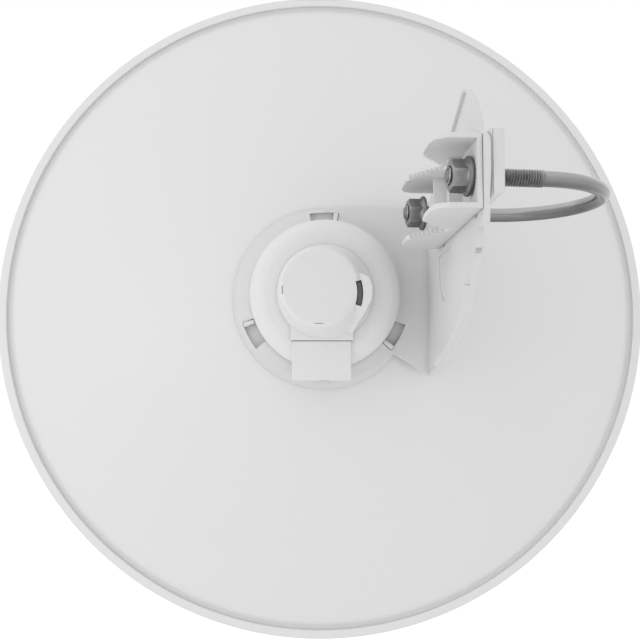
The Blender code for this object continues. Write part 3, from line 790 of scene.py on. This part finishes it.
@dataclass
class Reflector:
    """The pressed bowl with the channel and the folded hem at its rim."""

    focal_length: float = 0.13998
    depth: float = 0.076
    hole_radius: float = 0.0273
    bowl_radius: float = 0.1975
    rim_radius: float = 0.210
    sheet: float = 0.0015
    channel_start: Point = (0.2018, -0.0027)
    channel_end: Point = (0.2037, -0.0023)
    hem_inner: float = 0.2041
    hem_y: float = -0.0046
    hem_rise: float = 0.0014
    blend: float = 0.0010
    floor_step: float = 0.0006

    def back_y(self, radius: float) -> float:
        """The bowl's back surface at a radius."""
        return radius**2 / (4 * self.focal_length) - self.depth

    def rim_section(self) -> Outline:
        """The section from the bowl's back, through the channel and over the hem, to its front."""
        sheet, (start, floor), (end, foot) = self.sheet, self.channel_start, self.channel_end
        back, turn = self.back_y(self.bowl_radius), self.bowl_radius + self.blend
        corners = [
            (self.bowl_radius, back),
            (turn, self.back_y(turn), 0.0020),
            (start, floor, 0.0012),
            (end, foot, 0.0004),
            (self.hem_inner, self.hem_y, 0.0005),
            (self.rim_radius, self.hem_y + self.hem_rise, 0.0016),
            (self.rim_radius, 0.0, 0.0016),
            (end, 0.0, 0.0005),
            (start - self.floor_step, floor + sheet, 0.0010),
            (turn, self.back_y(turn) + sheet, 0.0006),
            (self.bowl_radius, back + sheet),
        ]
        return rounded(corners, closed=False)

    def build(self, shop: Workshop, palette: Palette) -> None:
        """Make the reflector."""
        mesh = shop.grow(
            edge_mesh(self.rim_section(), closed=False),
            shop.trees.parabolic_dish,
            Focal_Length=self.focal_length,
            Depth=self.depth,
            Hole_Radius=self.hole_radius,
            Bowl_Radius=self.bowl_radius,
            Sheet=self.sheet,
            Rings=42,
            Segments=288,
        )
        shop.piece("reflector_shell", mesh, palette.reflector, Slot.REFLECTOR, Place.DISH, "reflector_dish")


@dataclass
class Bracket:
    """Round base, arm plate and fin, moulded in one piece, with the three bayonet latches."""

    base_radius: float = 0.0530
    base_back_y: float = -0.080
    base_edge: float = 0.0001
    hole_radius: float = 0.0273
    gap: float = 0.0003
    arm_span: Point = (-0.078, -0.0722)
    fin_face_x: float = -0.00635
    fin_back_x: float = -0.00935
    fin_far_y: float = 0.0955
    leg_radius: float = 0.0412
    slot_half_width: float = 0.0055
    slot_half_angle: float = 17.5
    lip_thickness: float = 0.0020
    lip_inset: float = 0.0002
    lip_root: float = 0.0012
    top_lip_reach: float = 0.0018
    bottom_lip_reach: float = 0.0026
    pocket_radius: float = 0.0175
    pocket_centre: Point = (0.0372, -0.0290)
    pocket_top: float = -0.0205
    pocket_depth: float = 0.0005
    notch_low: Point = (-0.0500, -0.0334)
    notch_high: Point = (-0.0365, -0.0310)
    latch_radii: Point = (0.0410, 0.0492)
    latch_inner_radius: float = 0.0425
    latch_half_angle: float = 10.0
    latch_offsets: Point = (9.6, 6.4)
    latch_floor_y: float = -0.0742
    latch_back_y: float = -0.0792
    latch_angles: tuple[tuple[str, float], ...] = (
        ("top", 90.0), ("lower_left", 207.5), ("lower_right", 331.0),
    )

    def base(self, shop: Workshop, dish: Reflector) -> Mesh:
        """The round base: flat under the housing, then down to a thin edge on the bowl."""
        steps = 8
        span = self.base_radius - self.hole_radius
        radii = [self.hole_radius + span * step / steps for step in range(steps + 1)]
        corners = [(radius, dish.back_y(radius) - self.gap) for radius in radii]
        corners += [
            (self.base_radius, corners[-1][1] - self.base_edge), (0.0500, -0.0763, 0.004),
            (0.0430, self.base_back_y, 0.005), (self.hole_radius, self.base_back_y),
        ]
        return shop.turned(rounded(corners), closed=True, segments=128)

    def arm(self) -> Mesh:
        """The plate from the base to the fin."""
        corners = [
            (0.0298, -0.0267), (0.0612, -0.046, 0.001), (0.0612, 0.052, 0.001),
            (0.002, 0.052, 0.0008), (0.002, 0.040), (0.0298, 0.026),
        ]
        return slab(rounded(corners), Axis.Y, *self.arm_span, 0.0006)

    def lower_edge(self) -> list[Corner]:
        """The fin's edge under the tilt axis, from the step towards the dish."""
        return [
            (-0.0236, -0.0459, 0.010), (-0.0164, -0.0562, 0.006), (-0.0047, -0.0626, 0.020),
            (0.0255, -0.0723, 0.030), (0.0626, -0.0789, 0.030), (self.fin_far_y, -0.0830),
        ]

    def fin_edge(self) -> Outline:
        """The fin's outline as (y, z) about the tilt axis."""
        corners = [(self.fin_far_y, 0.0145), (0.0077, 0.0369, 0.020), (-0.0205, 0.0468, 0.0015)]
        corners += [(-0.0240, 0.0440, 0.003), (-0.0315, 0.0393, 0.010), (-0.0411, 0.0289, 0.010)]
        corners += [(-0.0446, 0.0211, 0.004), (-0.0570, 0.0144, 0.004), (-0.0570, 0.0, 0.010)]
        corners += [(-0.0545, -0.0129, 0.010), (-0.0536, -0.0222, 0.0006), (-0.0412, -0.0224, 0.0006)]
        corners += [(-0.0405, -0.0316, 0.004), (-0.0388, -0.0346, 0.003), (-0.0315, -0.0405, 0.006)]
        return rounded(corners + self.lower_edge())

    def lip(self, edge: Outline, reach: float) -> Mesh:
        """A raised lip just inside a run of the fin's edge."""
        outer, inner = [], []
        for index, point in enumerate(edge):
            along = Vector(edge[min(index + 1, len(edge) - 1)]) - Vector(edge[max(index - 1, 0)])
            inward = Vector((-along.y, along.x)).normalized()
            outer.append(tuple(Vector(point) + inward * self.lip_inset))
            inner.append(tuple(Vector(point) + inward * self.lip_thickness))
        low, high = self.fin_back_x - reach, self.fin_back_x + self.lip_root
        return slab(outer + inner[::-1], Axis.X, low, high, 0.0004)

    def cutter_span(self) -> Point:
        """The ends in X of a cutter that goes through the fin and its lips."""
        return self.fin_back_x - 0.004, self.fin_face_x + 0.002

    def leg_slot(self, side: float) -> Mesh:
        """An arc slot for a leg of the U-bolt, round the tilt axis."""
        low, high = side - self.slot_half_angle, side + self.slot_half_angle
        outer = arc(self.leg_radius + self.slot_half_width, low, high, 16)
        inner = arc(self.leg_radius - self.slot_half_width, high, low, 16)
        ends = [arc(self.leg_radius, angle, angle, 1)[0] for angle in (high, low)]
        cap = arc(self.slot_half_width, high, high + 180, 12, ends[0])[1:-1]
        other = arc(self.slot_half_width, low + 180, low + 360, 12, ends[1])[1:-1]
        return slab(outer + cap + inner + other, Axis.X, *self.cutter_span())

    def fin(self, shop: Workshop) -> Mesh:
        """The tall plate with its lips, leg slots, pocket and notch, in the dish's frame."""
        plate = slab(self.fin_edge(), Axis.X, self.fin_back_x, self.fin_face_x, 0.0005)
        top = self.lip([(0.0300, 0.0312), (0.0077, 0.0369), (-0.0205, 0.0468)], self.top_lip_reach)
        bottom = self.lip(rounded(self.lower_edge()[:-1], closed=False), self.bottom_lip_reach)
        plate = shop.combine(plate, "UNION", top, bottom)
        y, radius = self.pocket_centre[0], self.pocket_radius
        outline = arc(radius, 180.0, 360.0, 16, self.pocket_centre)
        outline += [(y + radius, self.pocket_top), (y - radius, self.pocket_top)]
        pocket = slab(outline, Axis.X, self.fin_back_x - 0.002, self.fin_back_x + self.pocket_depth)
        back, face = self.cutter_span()
        notch = block((back, *self.notch_low), (face, *self.notch_high))
        plate = shop.combine(plate, "DIFFERENCE", self.leg_slot(180.0), self.leg_slot(0.0), pocket, notch)
        plate.transform(Place.DISH.matrix.inverted() @ Place.CLAMP.matrix)
        return plate

    def latch_recess(self, angle: float) -> Mesh:
        """The recess in the base that a bayonet latch slides in."""
        low, high = angle - self.latch_half_angle, angle + self.latch_half_angle
        outline = arc(self.latch_radii[1], low, high, 10) + arc(self.latch_radii[0], high, low, 10)
        return slab(outline, Axis.Y, self.base_back_y - 0.002, self.latch_floor_y)

    def latch(self, angle: float) -> Mesh:
        """A bayonet latch at the clockwise end of its recess."""
        low, high = (angle - offset for offset in self.latch_offsets)
        outline = arc(self.latch_radii[1] - self.gap, low, high, 5)
        outline += arc(self.latch_inner_radius, high, low, 5)
        return slab(outline, Axis.Y, self.latch_back_y, self.latch_floor_y - self.gap, 0.0004)

    def build(self, shop: Workshop, palette: Palette, dish: Reflector) -> None:
        """Make the bracket and its latches."""
        body = shop.combine(self.base(shop, dish), "UNION", self.arm())
        body = shop.combine(body, "DIFFERENCE", *(self.latch_recess(angle) for _, angle in self.latch_angles))
        body = shop.combine(body, "UNION", self.fin(shop))
        shop.piece("bracket_body", body, palette.bracket, Slot.BRACKET, Place.DISH, "mounting_bracket")
        for name, angle in self.latch_angles:
            dress = (palette.housing, Slot.BRACKET, Place.DISH, f"lock_tab_{name}")
            shop.piece(f"latch_{name}", self.latch(angle), *dress)


@dataclass
class RadioHousing:
    """The round housing behind the dish, with its boss, disc, light window and port cover."""

    neck_radius: float = 0.027
    neck_front_y: float = -0.066
    radius: float = 0.042
    front_y: float = -0.08014
    back_y: float = -0.100
    boss_radius: float = 0.0268
    boss_top_radius: float = 0.0212
    boss_top_y: float = -0.119
    disc_radius: float = 0.0186
    disc_height: float = 0.0012
    disc_offset: Point = (-0.0035, 0.0010)
    bulge_y: float = -0.1172
    pad_y: float = -0.1030
    pad_ends: Point = (-0.0190, 0.0154)
    window_radii: Point = (0.0203, 0.0230)
    window_half_angle: float = 17.0
    window_centre: Point = (-0.0035, -0.0024)
    window_span: Point = (-0.1164, -0.1138)
    cover_low: tuple[float, float, float] = (-0.0183, -0.1018, -0.0485)
    cover_high: tuple[float, float, float] = (0.0143, -0.0840, -0.0269)
    inlet: Point = (-0.0006, -0.0925)
    inlet_radius: float = 0.0035
    grommet_radius: float = 0.0032
    gap: float = 0.0003
    seam: float = 0.00014
    overcut: float = 0.002

    def shell(self, shop: Workshop) -> Mesh:
        """The round shell with its soft shoulder and the pocket for the port cover."""
        corners = [
            (0.0, self.neck_front_y), (self.neck_radius, self.neck_front_y), (self.neck_radius, self.front_y),
            (self.radius, self.front_y, 0.0006), (self.radius, -0.0930, 0.0030), (0.0402, -0.0963, 0.0040),
            (0.0370, -0.0990, 0.0050), (0.0335, self.back_y, 0.0030), (0.0, self.back_y),
        ]
        body = shop.turned(rounded(corners, closed=False), segments=160)
        high = Vector(self.cover_high) + Vector((0.0, self.seam, self.seam))
        return shop.combine(body, "DIFFERENCE", block(self.cover_low, high))

    def boss(self, shop: Workshop) -> Mesh:
        """The cone with its bulge and pad, and the seats for the disc and the light window."""
        base_y, top_y = self.back_y - self.gap, self.boss_top_y
        corners = [
            (0.0, base_y), (self.boss_radius, base_y, 0.0004),
            (self.boss_top_radius, top_y, 0.0024), (0.0, top_y),
        ]
        cone = shop.turned(rounded(corners, closed=False), segments=128)
        for vert in cone.vertices:
            share = (vert.co.y - base_y) / (top_y - base_y)
            vert.co.x += share * self.disc_offset[0]
            vert.co.z += share * self.disc_offset[1]
        bulge_line = [
            (0.0120, 0.0110), (0.0182, 0.0088, 0.002), (0.0228, 0.0070, 0.003), (0.0252, 0.0015, 0.006),
            (0.0246, -0.0060, 0.006), (0.0219, -0.0108, 0.006), (0.0142, -0.0234, 0.001), (0.0060, -0.0200),
        ]
        bulge = slab(rounded(bulge_line), Axis.Y, self.bulge_y, base_y, 0.0008)
        ramp_line = [
            (-0.1188, -0.0080), (self.pad_y, -0.0238), (self.pad_y, -0.0300), (-0.1220, -0.0300),
            (-0.1220, -0.0080),
        ]
        bulge = shop.combine(bulge, "DIFFERENCE", slab(ramp_line, Axis.X, 0.0, 0.0300))
        left, right = self.pad_ends
        pad = block((left, self.pad_y, self.cover_high[2] + self.seam), (right, base_y, 0.0), 0.0007)
        body = shop.combine(cone, "UNION", bulge, pad)
        seat_line = circle(self.disc_radius - 0.0001, 96, self.disc_offset)
        cutters = [
            slab(seat_line, Axis.Y, top_y - self.overcut, top_y + 0.0015),
            self.window(self.gap, top_y - self.overcut, 0.0),
            block((-0.0062, -0.1200, -0.0190), (-0.0014, top_y + 0.0012, -0.0186)),
            block((-0.0236, -0.1200, -0.0030), (-0.0231, top_y + 0.0016, 0.0012)),
        ]
        return shop.combine(body, "DIFFERENCE", *cutters)

    def disc(self) -> Mesh:
        """The bare disc in its seat."""
        outline = circle(self.disc_radius, 96, self.disc_offset)
        return slab(outline, Axis.Y, self.boss_top_y - 0.0001, self.boss_top_y + self.disc_height, 0.0001)

    def cover(self, shop: Workshop) -> Mesh:
        """The sliding cover with the grommet's hole."""
        low = self.cover_low[2]
        hole = slab(circle(self.inlet_radius, 32, self.inlet), Axis.Z, low - self.overcut, low + 0.004)
        return shop.combine(block(self.cover_low, self.cover_high, 0.0008), "DIFFERENCE", hole)

    def grommet(self) -> Mesh:
        """The cable inlet's rubber grommet."""
        low = self.cover_low[2]
        return slab(circle(self.grommet_radius, 32, self.inlet), Axis.Z, low - 0.0002, low + 0.0037, 0.0001)

    def window(self, grow: float, back_y: float, edge: float) -> Mesh:
        """The arc of the smoked window over the status lights, or grown, the seat that it sits in.

        Args:
            grow: how much larger than the window on every side.
            back_y: the outer face.
            edge: the radius of its edges.

        Returns:
            The mesh.
        """
        reach = self.window_half_angle + math.degrees(grow / self.window_radii[1])
        inner, outer = self.window_radii[0] - grow, self.window_radii[1] + grow
        outline = arc(outer, -reach, reach, 12, self.window_centre)
        outline += arc(inner, reach, -reach, 12, self.window_centre)
        return slab(outline, Axis.Y, back_y, self.window_span[1] + grow, edge)

    def build(self, shop: Workshop, palette: Palette) -> None:
        """Make the housing's pieces."""
        window = self.window(0.0, self.window_span[0], 0.0004)
        rows = (
            ("housing_shell", self.shell(shop), palette.housing, Slot.HOUSING, "rear_housing"),
            ("boss_cone", self.boss(shop), palette.housing, Slot.HOUSING, "housing_boss"),
            ("boss_disc", self.disc(), palette.disc, Slot.DISC, "badge_disc"),
            ("light_window", window, palette.window, Slot.WINDOW, "status_window"),
            ("sliding_cover", self.cover(shop), palette.housing, Slot.HOUSING, "port_cover"),
            ("inlet_grommet", self.grommet(), palette.rubber, Slot.RUBBER, "cable_grommet"),
        )
        for name, mesh, material, slot, node in rows:
            shop.piece(name, mesh, material, slot, Place.DISH, node)


@dataclass
class Feed:
    """The retaining ring and the stepped feed in front of the bowl."""

    neck_radius: float = 0.0273
    ring_radius: float = 0.0375
    ring_back_y: float = -0.0712
    ring_front_y: float = -0.0670
    notch_count: int = 24
    notch_half_width: float = 0.0012
    notch_depth: float = 0.0008
    overcut: float = 0.001
    ridge_count: int = 4
    ridge_start: float = -0.040
    ridge_pitch: float = 0.004

    def ring(self, shop: Workshop) -> Mesh:
        """The retaining ring with grip notches round its edge."""
        back, front = self.ring_back_y, self.ring_front_y
        corners = [
            (self.neck_radius, back), (self.neck_radius, front, 0.0005),
            (self.ring_radius, front, 0.0015), (self.ring_radius, back, 0.0004),
        ]
        body = shop.turned(rounded(corners), closed=True, segments=144)
        low = (self.ring_radius - self.notch_depth, back - self.overcut, -self.notch_half_width)
        high = (self.ring_radius + self.overcut, front + self.overcut, self.notch_half_width)
        notches = shop.grow(block(low, high), shop.trees.ring_of, Count=self.notch_count)
        return shop.combine(body, "DIFFERENCE", notches)

    def build(self, shop: Workshop, palette: Palette) -> None:
        """Make the ring and the turned pieces on the boresight."""
        dress = (palette.housing, Slot.HOUSING, Place.DISH)
        shop.piece("locking_ring", self.ring(shop), *dress, "retaining_ring")
        collar = [
            (0.0, -0.0657), (0.025, -0.0657, 0.0005), (0.025, -0.060, 0.002), (0.016, -0.048, 0.001),
            (0.0, -0.048),
        ]
        tube = [(0.0, -0.0477), (0.0135, -0.0477, 0.0005)]
        for ridge in range(self.ridge_count):
            start = self.ridge_start + ridge * self.ridge_pitch
            tube += [(0.0134, start), (0.0129, start + 0.0005)]
            tube += [(0.0129, start + 0.0015), (0.0134, start + 0.002)]
        tube += [(0.012, 0.020), (0.0, 0.020)]
        head = [
            (0.0, 0.0203), (0.013, 0.0203, 0.0005), (0.0265, 0.0385, 0.003), (0.028, 0.0400, 0.0004),
            (0.028, 0.044), (0.0, 0.044),
        ]
        cap = [
            (0.0, 0.0443), (0.028, 0.0443, 0.0004), (0.0265, 0.0470, 0.002), (0.018, 0.0494, 0.01),
            (0.0, 0.050),
        ]
        rows = (
            ("feed_socket", collar, "feed_collar"), ("feed_stem", tube, "feed_tube"),
            ("feed_cup", head, "feed_head"), ("feed_lid", cap, "feed_cap"),
        )
        for name, corners, node in rows:
            shop.piece(name, shop.turned(rounded(corners, closed=False)), *dress, node)


@dataclass
class PoleClamp:
    """The toothed bracket behind the fin and the flat jaw in front of it."""

    wall_face_x: float = -0.0095
    wall_back_x: float = -0.0118
    half_length: float = 0.0545
    half_height: float = 0.0164
    plate_thickness: float = 0.0025
    tip_x: float = -0.0308
    mouth: float = 0.027
    apex: Point = (-0.0142, 0.0015)
    teeth: int = 8
    tooth_height: float = 0.0023
    tooth_root: float = -0.0006
    tooth_inset: float = 0.00025
    tooth_ends: Point = (0.10, 0.92)
    rib_y: float = 0.020
    rib_half_thickness: float = 0.00125
    rib_tip_x: float = -0.018
    leg_y: float = 0.0412
    hole_radius: float = 0.0055
    overcut: float = 0.002
    jaw_thickness: float = 0.0062
    jaw_half_length: float = 0.0555

    def plate(self, low: float) -> Mesh:
        """A horizontal plate with round ears and a V notch."""
        inside = (self.wall_back_x + self.wall_face_x) / 2
        near = [
            (inside, -self.half_length), (self.tip_x + 0.007, -self.half_length, 0.004),
            (self.tip_x + 0.0015, -self.half_length + 0.0035, 0.005),
            (self.tip_x, -self.half_length + 0.010, 0.006),
            (self.tip_x, -self.mouth, 0.0012), (self.apex[0], -self.apex[1], 0.001),
        ]
        far = [(corner[0], -corner[1], *corner[2:]) for corner in reversed(near)]
        return slab(rounded(near + far), Axis.Z, low, low + self.plate_thickness, 0.0004)

    def flank(self, side: float, share: float) -> Vector:
        """A point on a notch's edge, by its share of the way from mouth to apex."""
        mouth = Vector((self.tip_x, side * self.mouth, 0.0))
        return mouth.lerp(Vector((self.apex[0], side * self.apex[1], 0.0)), share)

    def tooth_row(self, shop: Workshop, side: float, low: float) -> Mesh:
        """The teeth along one edge of a notch."""
        first, last = self.tooth_ends
        step = (last - first) / self.teeth
        along = (self.flank(side, 1.0) - self.flank(side, 0.0)).normalized()
        out = Vector((along.y, -along.x, 0.0)) * side
        pitch = (self.flank(side, first + step) - self.flank(side, first)).length
        root, tip = self.tooth_root, self.tooth_height
        shares = ((0.1, root), (0.1, 0.0), (0.42, tip), (0.58, tip), (0.9, 0.0), (0.9, root))
        outline = [tuple(along * (pitch * share) + out * rise)[:2] for share, rise in shares]
        inset, top = self.tooth_inset, low + self.plate_thickness
        tooth = slab(outline, Axis.Z, low + inset, top - inset)
        start, end = self.flank(side, first), self.flank(side, last - step)
        return shop.grow(tooth, shop.trees.row_of, First=tuple(start), Last=tuple(end), Count=self.teeth)

    def holes(self, low: float, high: float) -> list[Mesh]:
        """The cutters of the two leg holes, through what lies between two values of X."""
        span = (low - self.overcut, high + self.overcut)
        legs = (-self.leg_y, self.leg_y)
        return [slab(circle(self.hole_radius, 40, (y, 0.0)), Axis.X, *span) for y in legs]

    def plate_lows(self) -> Point:
        """The undersides of the two plates."""
        return self.half_height - self.plate_thickness, -self.half_height

    def bracket(self, shop: Workshop) -> Mesh:
        """The wall with its holes, plates and ribs."""
        half, back, face = self.half_height, self.wall_back_x, self.wall_face_x
        wall = block((back, -self.half_length, -half), (face, self.half_length, half), 0.0004)
        parts = [self.plate(low) for low in self.plate_lows()]
        thin, reach = self.rib_half_thickness, half - self.plate_thickness / 2
        for y in (-self.rib_y, self.rib_y):
            parts.append(block((self.rib_tip_x, y - thin, -reach), (face, y + thin, reach), 0.0003))
        body = shop.combine(wall, "UNION", *parts)
        return shop.combine(body, "DIFFERENCE", *self.holes(back, face))

    def jaw(self, shop: Workshop) -> Mesh:
        """The flat jaw against the pole, with its sloping lower edge and soft ends."""
        thick = self.jaw_thickness
        corners = [
            (-thick, 0.0185, 0.0008), (0.0, 0.0185, 0.0012), (0.0, -0.0095, 0.0012),
            (-thick, -0.0122, 0.0006),
        ]
        body = slab(rounded(corners), Axis.Y, -self.jaw_half_length, self.jaw_half_length, 0.0011)
        return shop.combine(body, "DIFFERENCE", *self.holes(-thick, 0.0))

    def build(self, shop: Workshop, palette: Palette) -> None:
        """Make the clamp's pieces."""
        dress = (palette.bracket, Slot.BRACKET, Place.CLAMP)
        shop.piece("clamp_bracket", self.bracket(shop), *dress, "toothed_clamp")
        rows = [self.tooth_row(shop, side, low) for side in (-1, 1) for low in self.plate_lows()]
        shop.piece("notch_teeth", merged(*rows), *dress)
        shop.piece("jaw_plate", self.jaw(shop), *dress, "pole_jaw")


@dataclass
class UBolt:
    """The bent rod with two threaded ends and their flange nuts."""

    leg_y: float = 0.0412
    rod_radius: float = 0.0036
    core_radius: float = 0.00342
    crest_radius: float = 0.0040
    pitch: float = 0.00125
    bend_centre_x: float = 0.0182
    near_thread_x: float = 0.0175
    far_thread_x: float = 0.0070
    overlap: float = 0.002
    tip_x: float = -0.0268
    tip_radius: float = 0.0030
    tip_chamfer: float = 0.0006
    tip_length: float = 0.0016
    thread_start: float = 0.0008
    nut_face_x: float = -0.0163
    nut_height: float = 0.009
    nut_chamfer: Point = (0.0011, 0.0007)
    bore_radius: float = 0.0042
    bore_mouth: float = 0.0049
    flange_radius: float = 0.00895
    flange_thickness: float = 0.0016
    across_flats: float = 0.013
    hexagon_turn: float = 73.0
    cone_height: float = 0.0034
    cone_radius: float = 0.0064
    serrations: int = 30
    serration_radii: Point = (0.0058, 0.0085)
    serration_half_width: float = 0.0003

    def rod(self, shop: Workshop) -> Mesh:
        """The plain bar between the threads."""
        bend = arc(self.leg_y, -90.0, 90.0, 64, (self.bend_centre_x, 0.0))
        near_x, far_x = self.near_thread_x - self.overlap, self.far_thread_x - self.overlap
        path = edge_mesh([(near_x, -self.leg_y), *bend, (far_x, self.leg_y)], closed=False)
        return shop.grow(path, shop.trees.round_rod, Radius=self.rod_radius, Sides=40)

    @staticmethod
    def along_x(mesh: Mesh, x: float, y: float = 0.0) -> Mesh:
        """Lay a shape that was turned about Y along X instead, and place it."""
        mesh.transform(Matrix.Translation((x, y, 0.0)) @ Matrix.Rotation(-QUARTER, 4, "Z"))
        return mesh

    def thread(self, shop: Workshop, side: float) -> Mesh:
        """A threaded end with a chamfered tip."""
        end_x = self.near_thread_x if side < 0 else self.far_thread_x
        ridge = shop.grow(
            edge_mesh([(0.0, 0.0), (0.001, 0.0)], closed=False),
            shop.trees.screw_thread,
            Start=self.tip_x + self.thread_start,
            Length=end_x - self.tip_x - self.thread_start,
            Core_Radius=self.core_radius,
            Crest_Height=self.crest_radius - self.core_radius,
            Pitch=self.pitch,
            Sides=28,
        )
        core, length = self.core_radius, self.tip_length
        tip = [(0.0, 0.0), (self.tip_radius, 0.0), (core, self.tip_chamfer), (core, length), (0.0, length)]
        both = merged(ridge, self.along_x(shop.turned(tip), self.tip_x))
        both.transform(Matrix.Translation((0.0, side * self.leg_y, 0.0)))
        return both

    def hexagon(self, shop: Workshop) -> Mesh:
        """The nut's hexagon with its corners chamfered at the top."""
        top, foot, (inset, drop) = -self.nut_height, 0.0008 - self.flange_thickness, self.nut_chamfer
        corner = self.across_flats / math.sqrt(3)
        outline = arc(corner, self.hexagon_turn, self.hexagon_turn + 360.0, 6)[:-1]
        wide = corner + 0.0001
        round_blank = [(0.0, top), (corner - inset, top), (wide, top + drop), (wide, 0.001), (0.0, 0.001)]
        return shop.combine(slab(outline, Axis.Y, top, foot), "INTERSECT", shop.turned(round_blank))

    def nut(self, shop: Workshop, side: float) -> Mesh:
        """A hexagon flange nut with a bore and a serrated seat."""
        top, edge, seam = -self.nut_height, self.flange_thickness, 0.0003
        corners = [
            (0.0, -edge - self.cone_height), (self.cone_radius, -edge - self.cone_height),
            (self.cone_radius + 0.0006, -edge - 0.0009, 0.0030), (self.flange_radius, -edge + 0.0002, 0.0004),
            (self.flange_radius, -seam, 0.0003), (0.0, -seam),
        ]
        flange = shop.turned(rounded(corners, closed=False), segments=72)
        body = shop.combine(flange, "UNION", self.hexagon(shop))
        bore, mouth = self.bore_radius, self.bore_mouth
        outline = [
            (0.0, top - 0.001), (mouth, top - 0.001), (bore, top + 0.0006), (bore, 0.001), (0.0, 0.001),
        ]
        body = shop.combine(body, "DIFFERENCE", shop.turned(outline, segments=48))
        (inner, outer), half = self.serration_radii, self.serration_half_width
        wedge = slab([(inner, -0.0004), (outer, -0.0004), (outer, 0.0), (inner, 0.0)], Axis.Z, -half, half)
        serrated = shop.grow(wedge, shop.trees.ring_of, Count=self.serrations)
        return self.along_x(merged(body, serrated), self.nut_face_x, side * self.leg_y)

    def build(self, shop: Workshop, palette: Palette) -> None:
        """Make the U-bolt and its nuts."""
        ride = (Slot.STEEL, Place.U_BOLT)
        shop.piece("bent_rod", self.rod(shop), palette.steel, *ride, "u_bolt")
        for name, side in (("near", -1.0), ("far", 1.0)):
            shop.piece(f"{name}_thread", self.thread(shop, side), palette.thread, *ride)
            shop.piece(f"{name}_nut", self.nut(shop, side), palette.nut, *ride, f"{name}_flange_nut")


@dataclass
class Studio:
    """Pale floor, soft light and the camera."""

    floor_z: float = -0.45
    floor_size: float = 14.0
    floor_tone: float = 0.95
    floor_roughness: float = 0.9
    floor_glow: float = 0.34
    glow_span: Point = (0.2, 0.9)
    camera_place: tuple[float, float, float] = (-0.0848, -0.4501, -0.0986)
    camera_turn: tuple[float, float, float] = (95.0, 0.0, -1.11)
    lens: float = 53.44
    sensor: float = 36.0
    sky: float = 0.875
    sky_tilt: tuple[float, float, float] = (-0.07, 0.0, 0.04)
    backdrop: float = 1.02
    backdrop_span: Point = (0.35, 0.65)
    panel_place: tuple[float, float, float] = (-1.6, -1.2, -0.1)
    panel_size: float = 0.9
    panel_power: float = 3.0

    def floor(self) -> None:
        """A plain pale floor that glows a little behind the dish."""
        half = self.floor_size / 2
        corners = [(-half, -half), (half, -half), (half, half), (-half, half)]
        mesh = bpy.data.meshes.new("floor")
        mesh.from_pydata([(x, y, self.floor_z) for x, y in corners], [], [(0, 1, 2, 3)])
        material = bpy.data.materials.new("pale_floor")
        material.use_nodes = True
        nodes = Nodes(material.node_tree)
        place = nodes.shade("TexCoord", output="Object")
        depth = nodes.shade("SeparateXYZ", {0: place}, "Y")
        nodes.fill(material.node_tree.nodes["Principled BSDF"], {
            "Base Color": (*grey(self.floor_tone), 1.0),
            "Roughness": self.floor_roughness,
            "Emission Color": (*grey(1.0), 1.0),
            "Emission Strength": nodes.ramp(depth, *self.glow_span, self.floor_glow),
        })
        mesh.materials.append(material)
        made = bpy.data.objects.new("floor", mesh)
        bpy.context.scene.collection.objects.link(made)

    def panel(self) -> None:
        """A square soft light at the left, aimed at the dish."""
        light = bpy.data.lights.new("left_panel", "AREA")
        light.size = self.panel_size
        light.energy = self.panel_power
        made = bpy.data.objects.new("left_panel", light)
        made.location = DISH_CENTRE + Vector(self.panel_place)
        made.rotation_mode = "QUATERNION"
        made.rotation_quaternion = Vector(self.panel_place).to_track_quat("Z", "Y")
        bpy.context.scene.collection.objects.link(made)

    def sky_dome(self) -> bpy.types.World:
        """A soft dome, brighter to the upper left, with a white backdrop behind the dish."""
        world = bpy.data.worlds.new("studio")
        world.use_nodes = True
        nodes = Nodes(world.node_tree)
        towards = nodes.shade("TexCoord", output="Generated")
        slope = nodes.shade("VectorMath", {0: towards, 1: self.sky_tilt}, "Value", operation="DOT_PRODUCT")
        dome = nodes.calc("ADD", slope, self.sky)
        behind = nodes.ramp(nodes.shade("SeparateXYZ", {0: towards}, "Y"), *self.backdrop_span)
        lift = nodes.calc("MULTIPLY", behind, nodes.calc("SUBTRACT", self.backdrop, dome))
        nodes.fill(world.node_tree.nodes["Background"], {
            "Strength": nodes.calc("ADD", dome, lift), "Color": (*grey(1.0), 1.0),
        })
        return world

    def build(self) -> None:
        """Set the stage."""
        scene = bpy.context.scene
        scene.view_settings.view_transform = "Standard"
        scene.world = self.sky_dome()
        self.floor()
        self.panel()
        data = bpy.data.cameras.new("camera")
        data.lens = self.lens
        data.sensor_width = self.sensor
        camera = bpy.data.objects.new("camera", data)
        camera.location = self.camera_place
        camera.rotation_euler = tuple(math.radians(angle) for angle in self.camera_turn)
        scene.collection.objects.link(camera)
        scene.camera = camera


def main() -> None:
    """Build every piece, dress it and set the stage."""
    logging.basicConfig(level=logging.INFO, format="%(message)s")
    shop = Workshop(GeometryTrees())
    palette = Palette(ShaderGroups())
    dish = Reflector()
    dish.build(shop, palette)
    Bracket().build(shop, palette, dish)
    RadioHousing().build(shop, palette)
    Feed().build(shop, palette)
    PoleClamp().build(shop, palette)
    UBolt().build(shop, palette)
    Studio().build()
    LOG.info("%d pieces", shop.count)


if __name__ == "__main__":
    main()
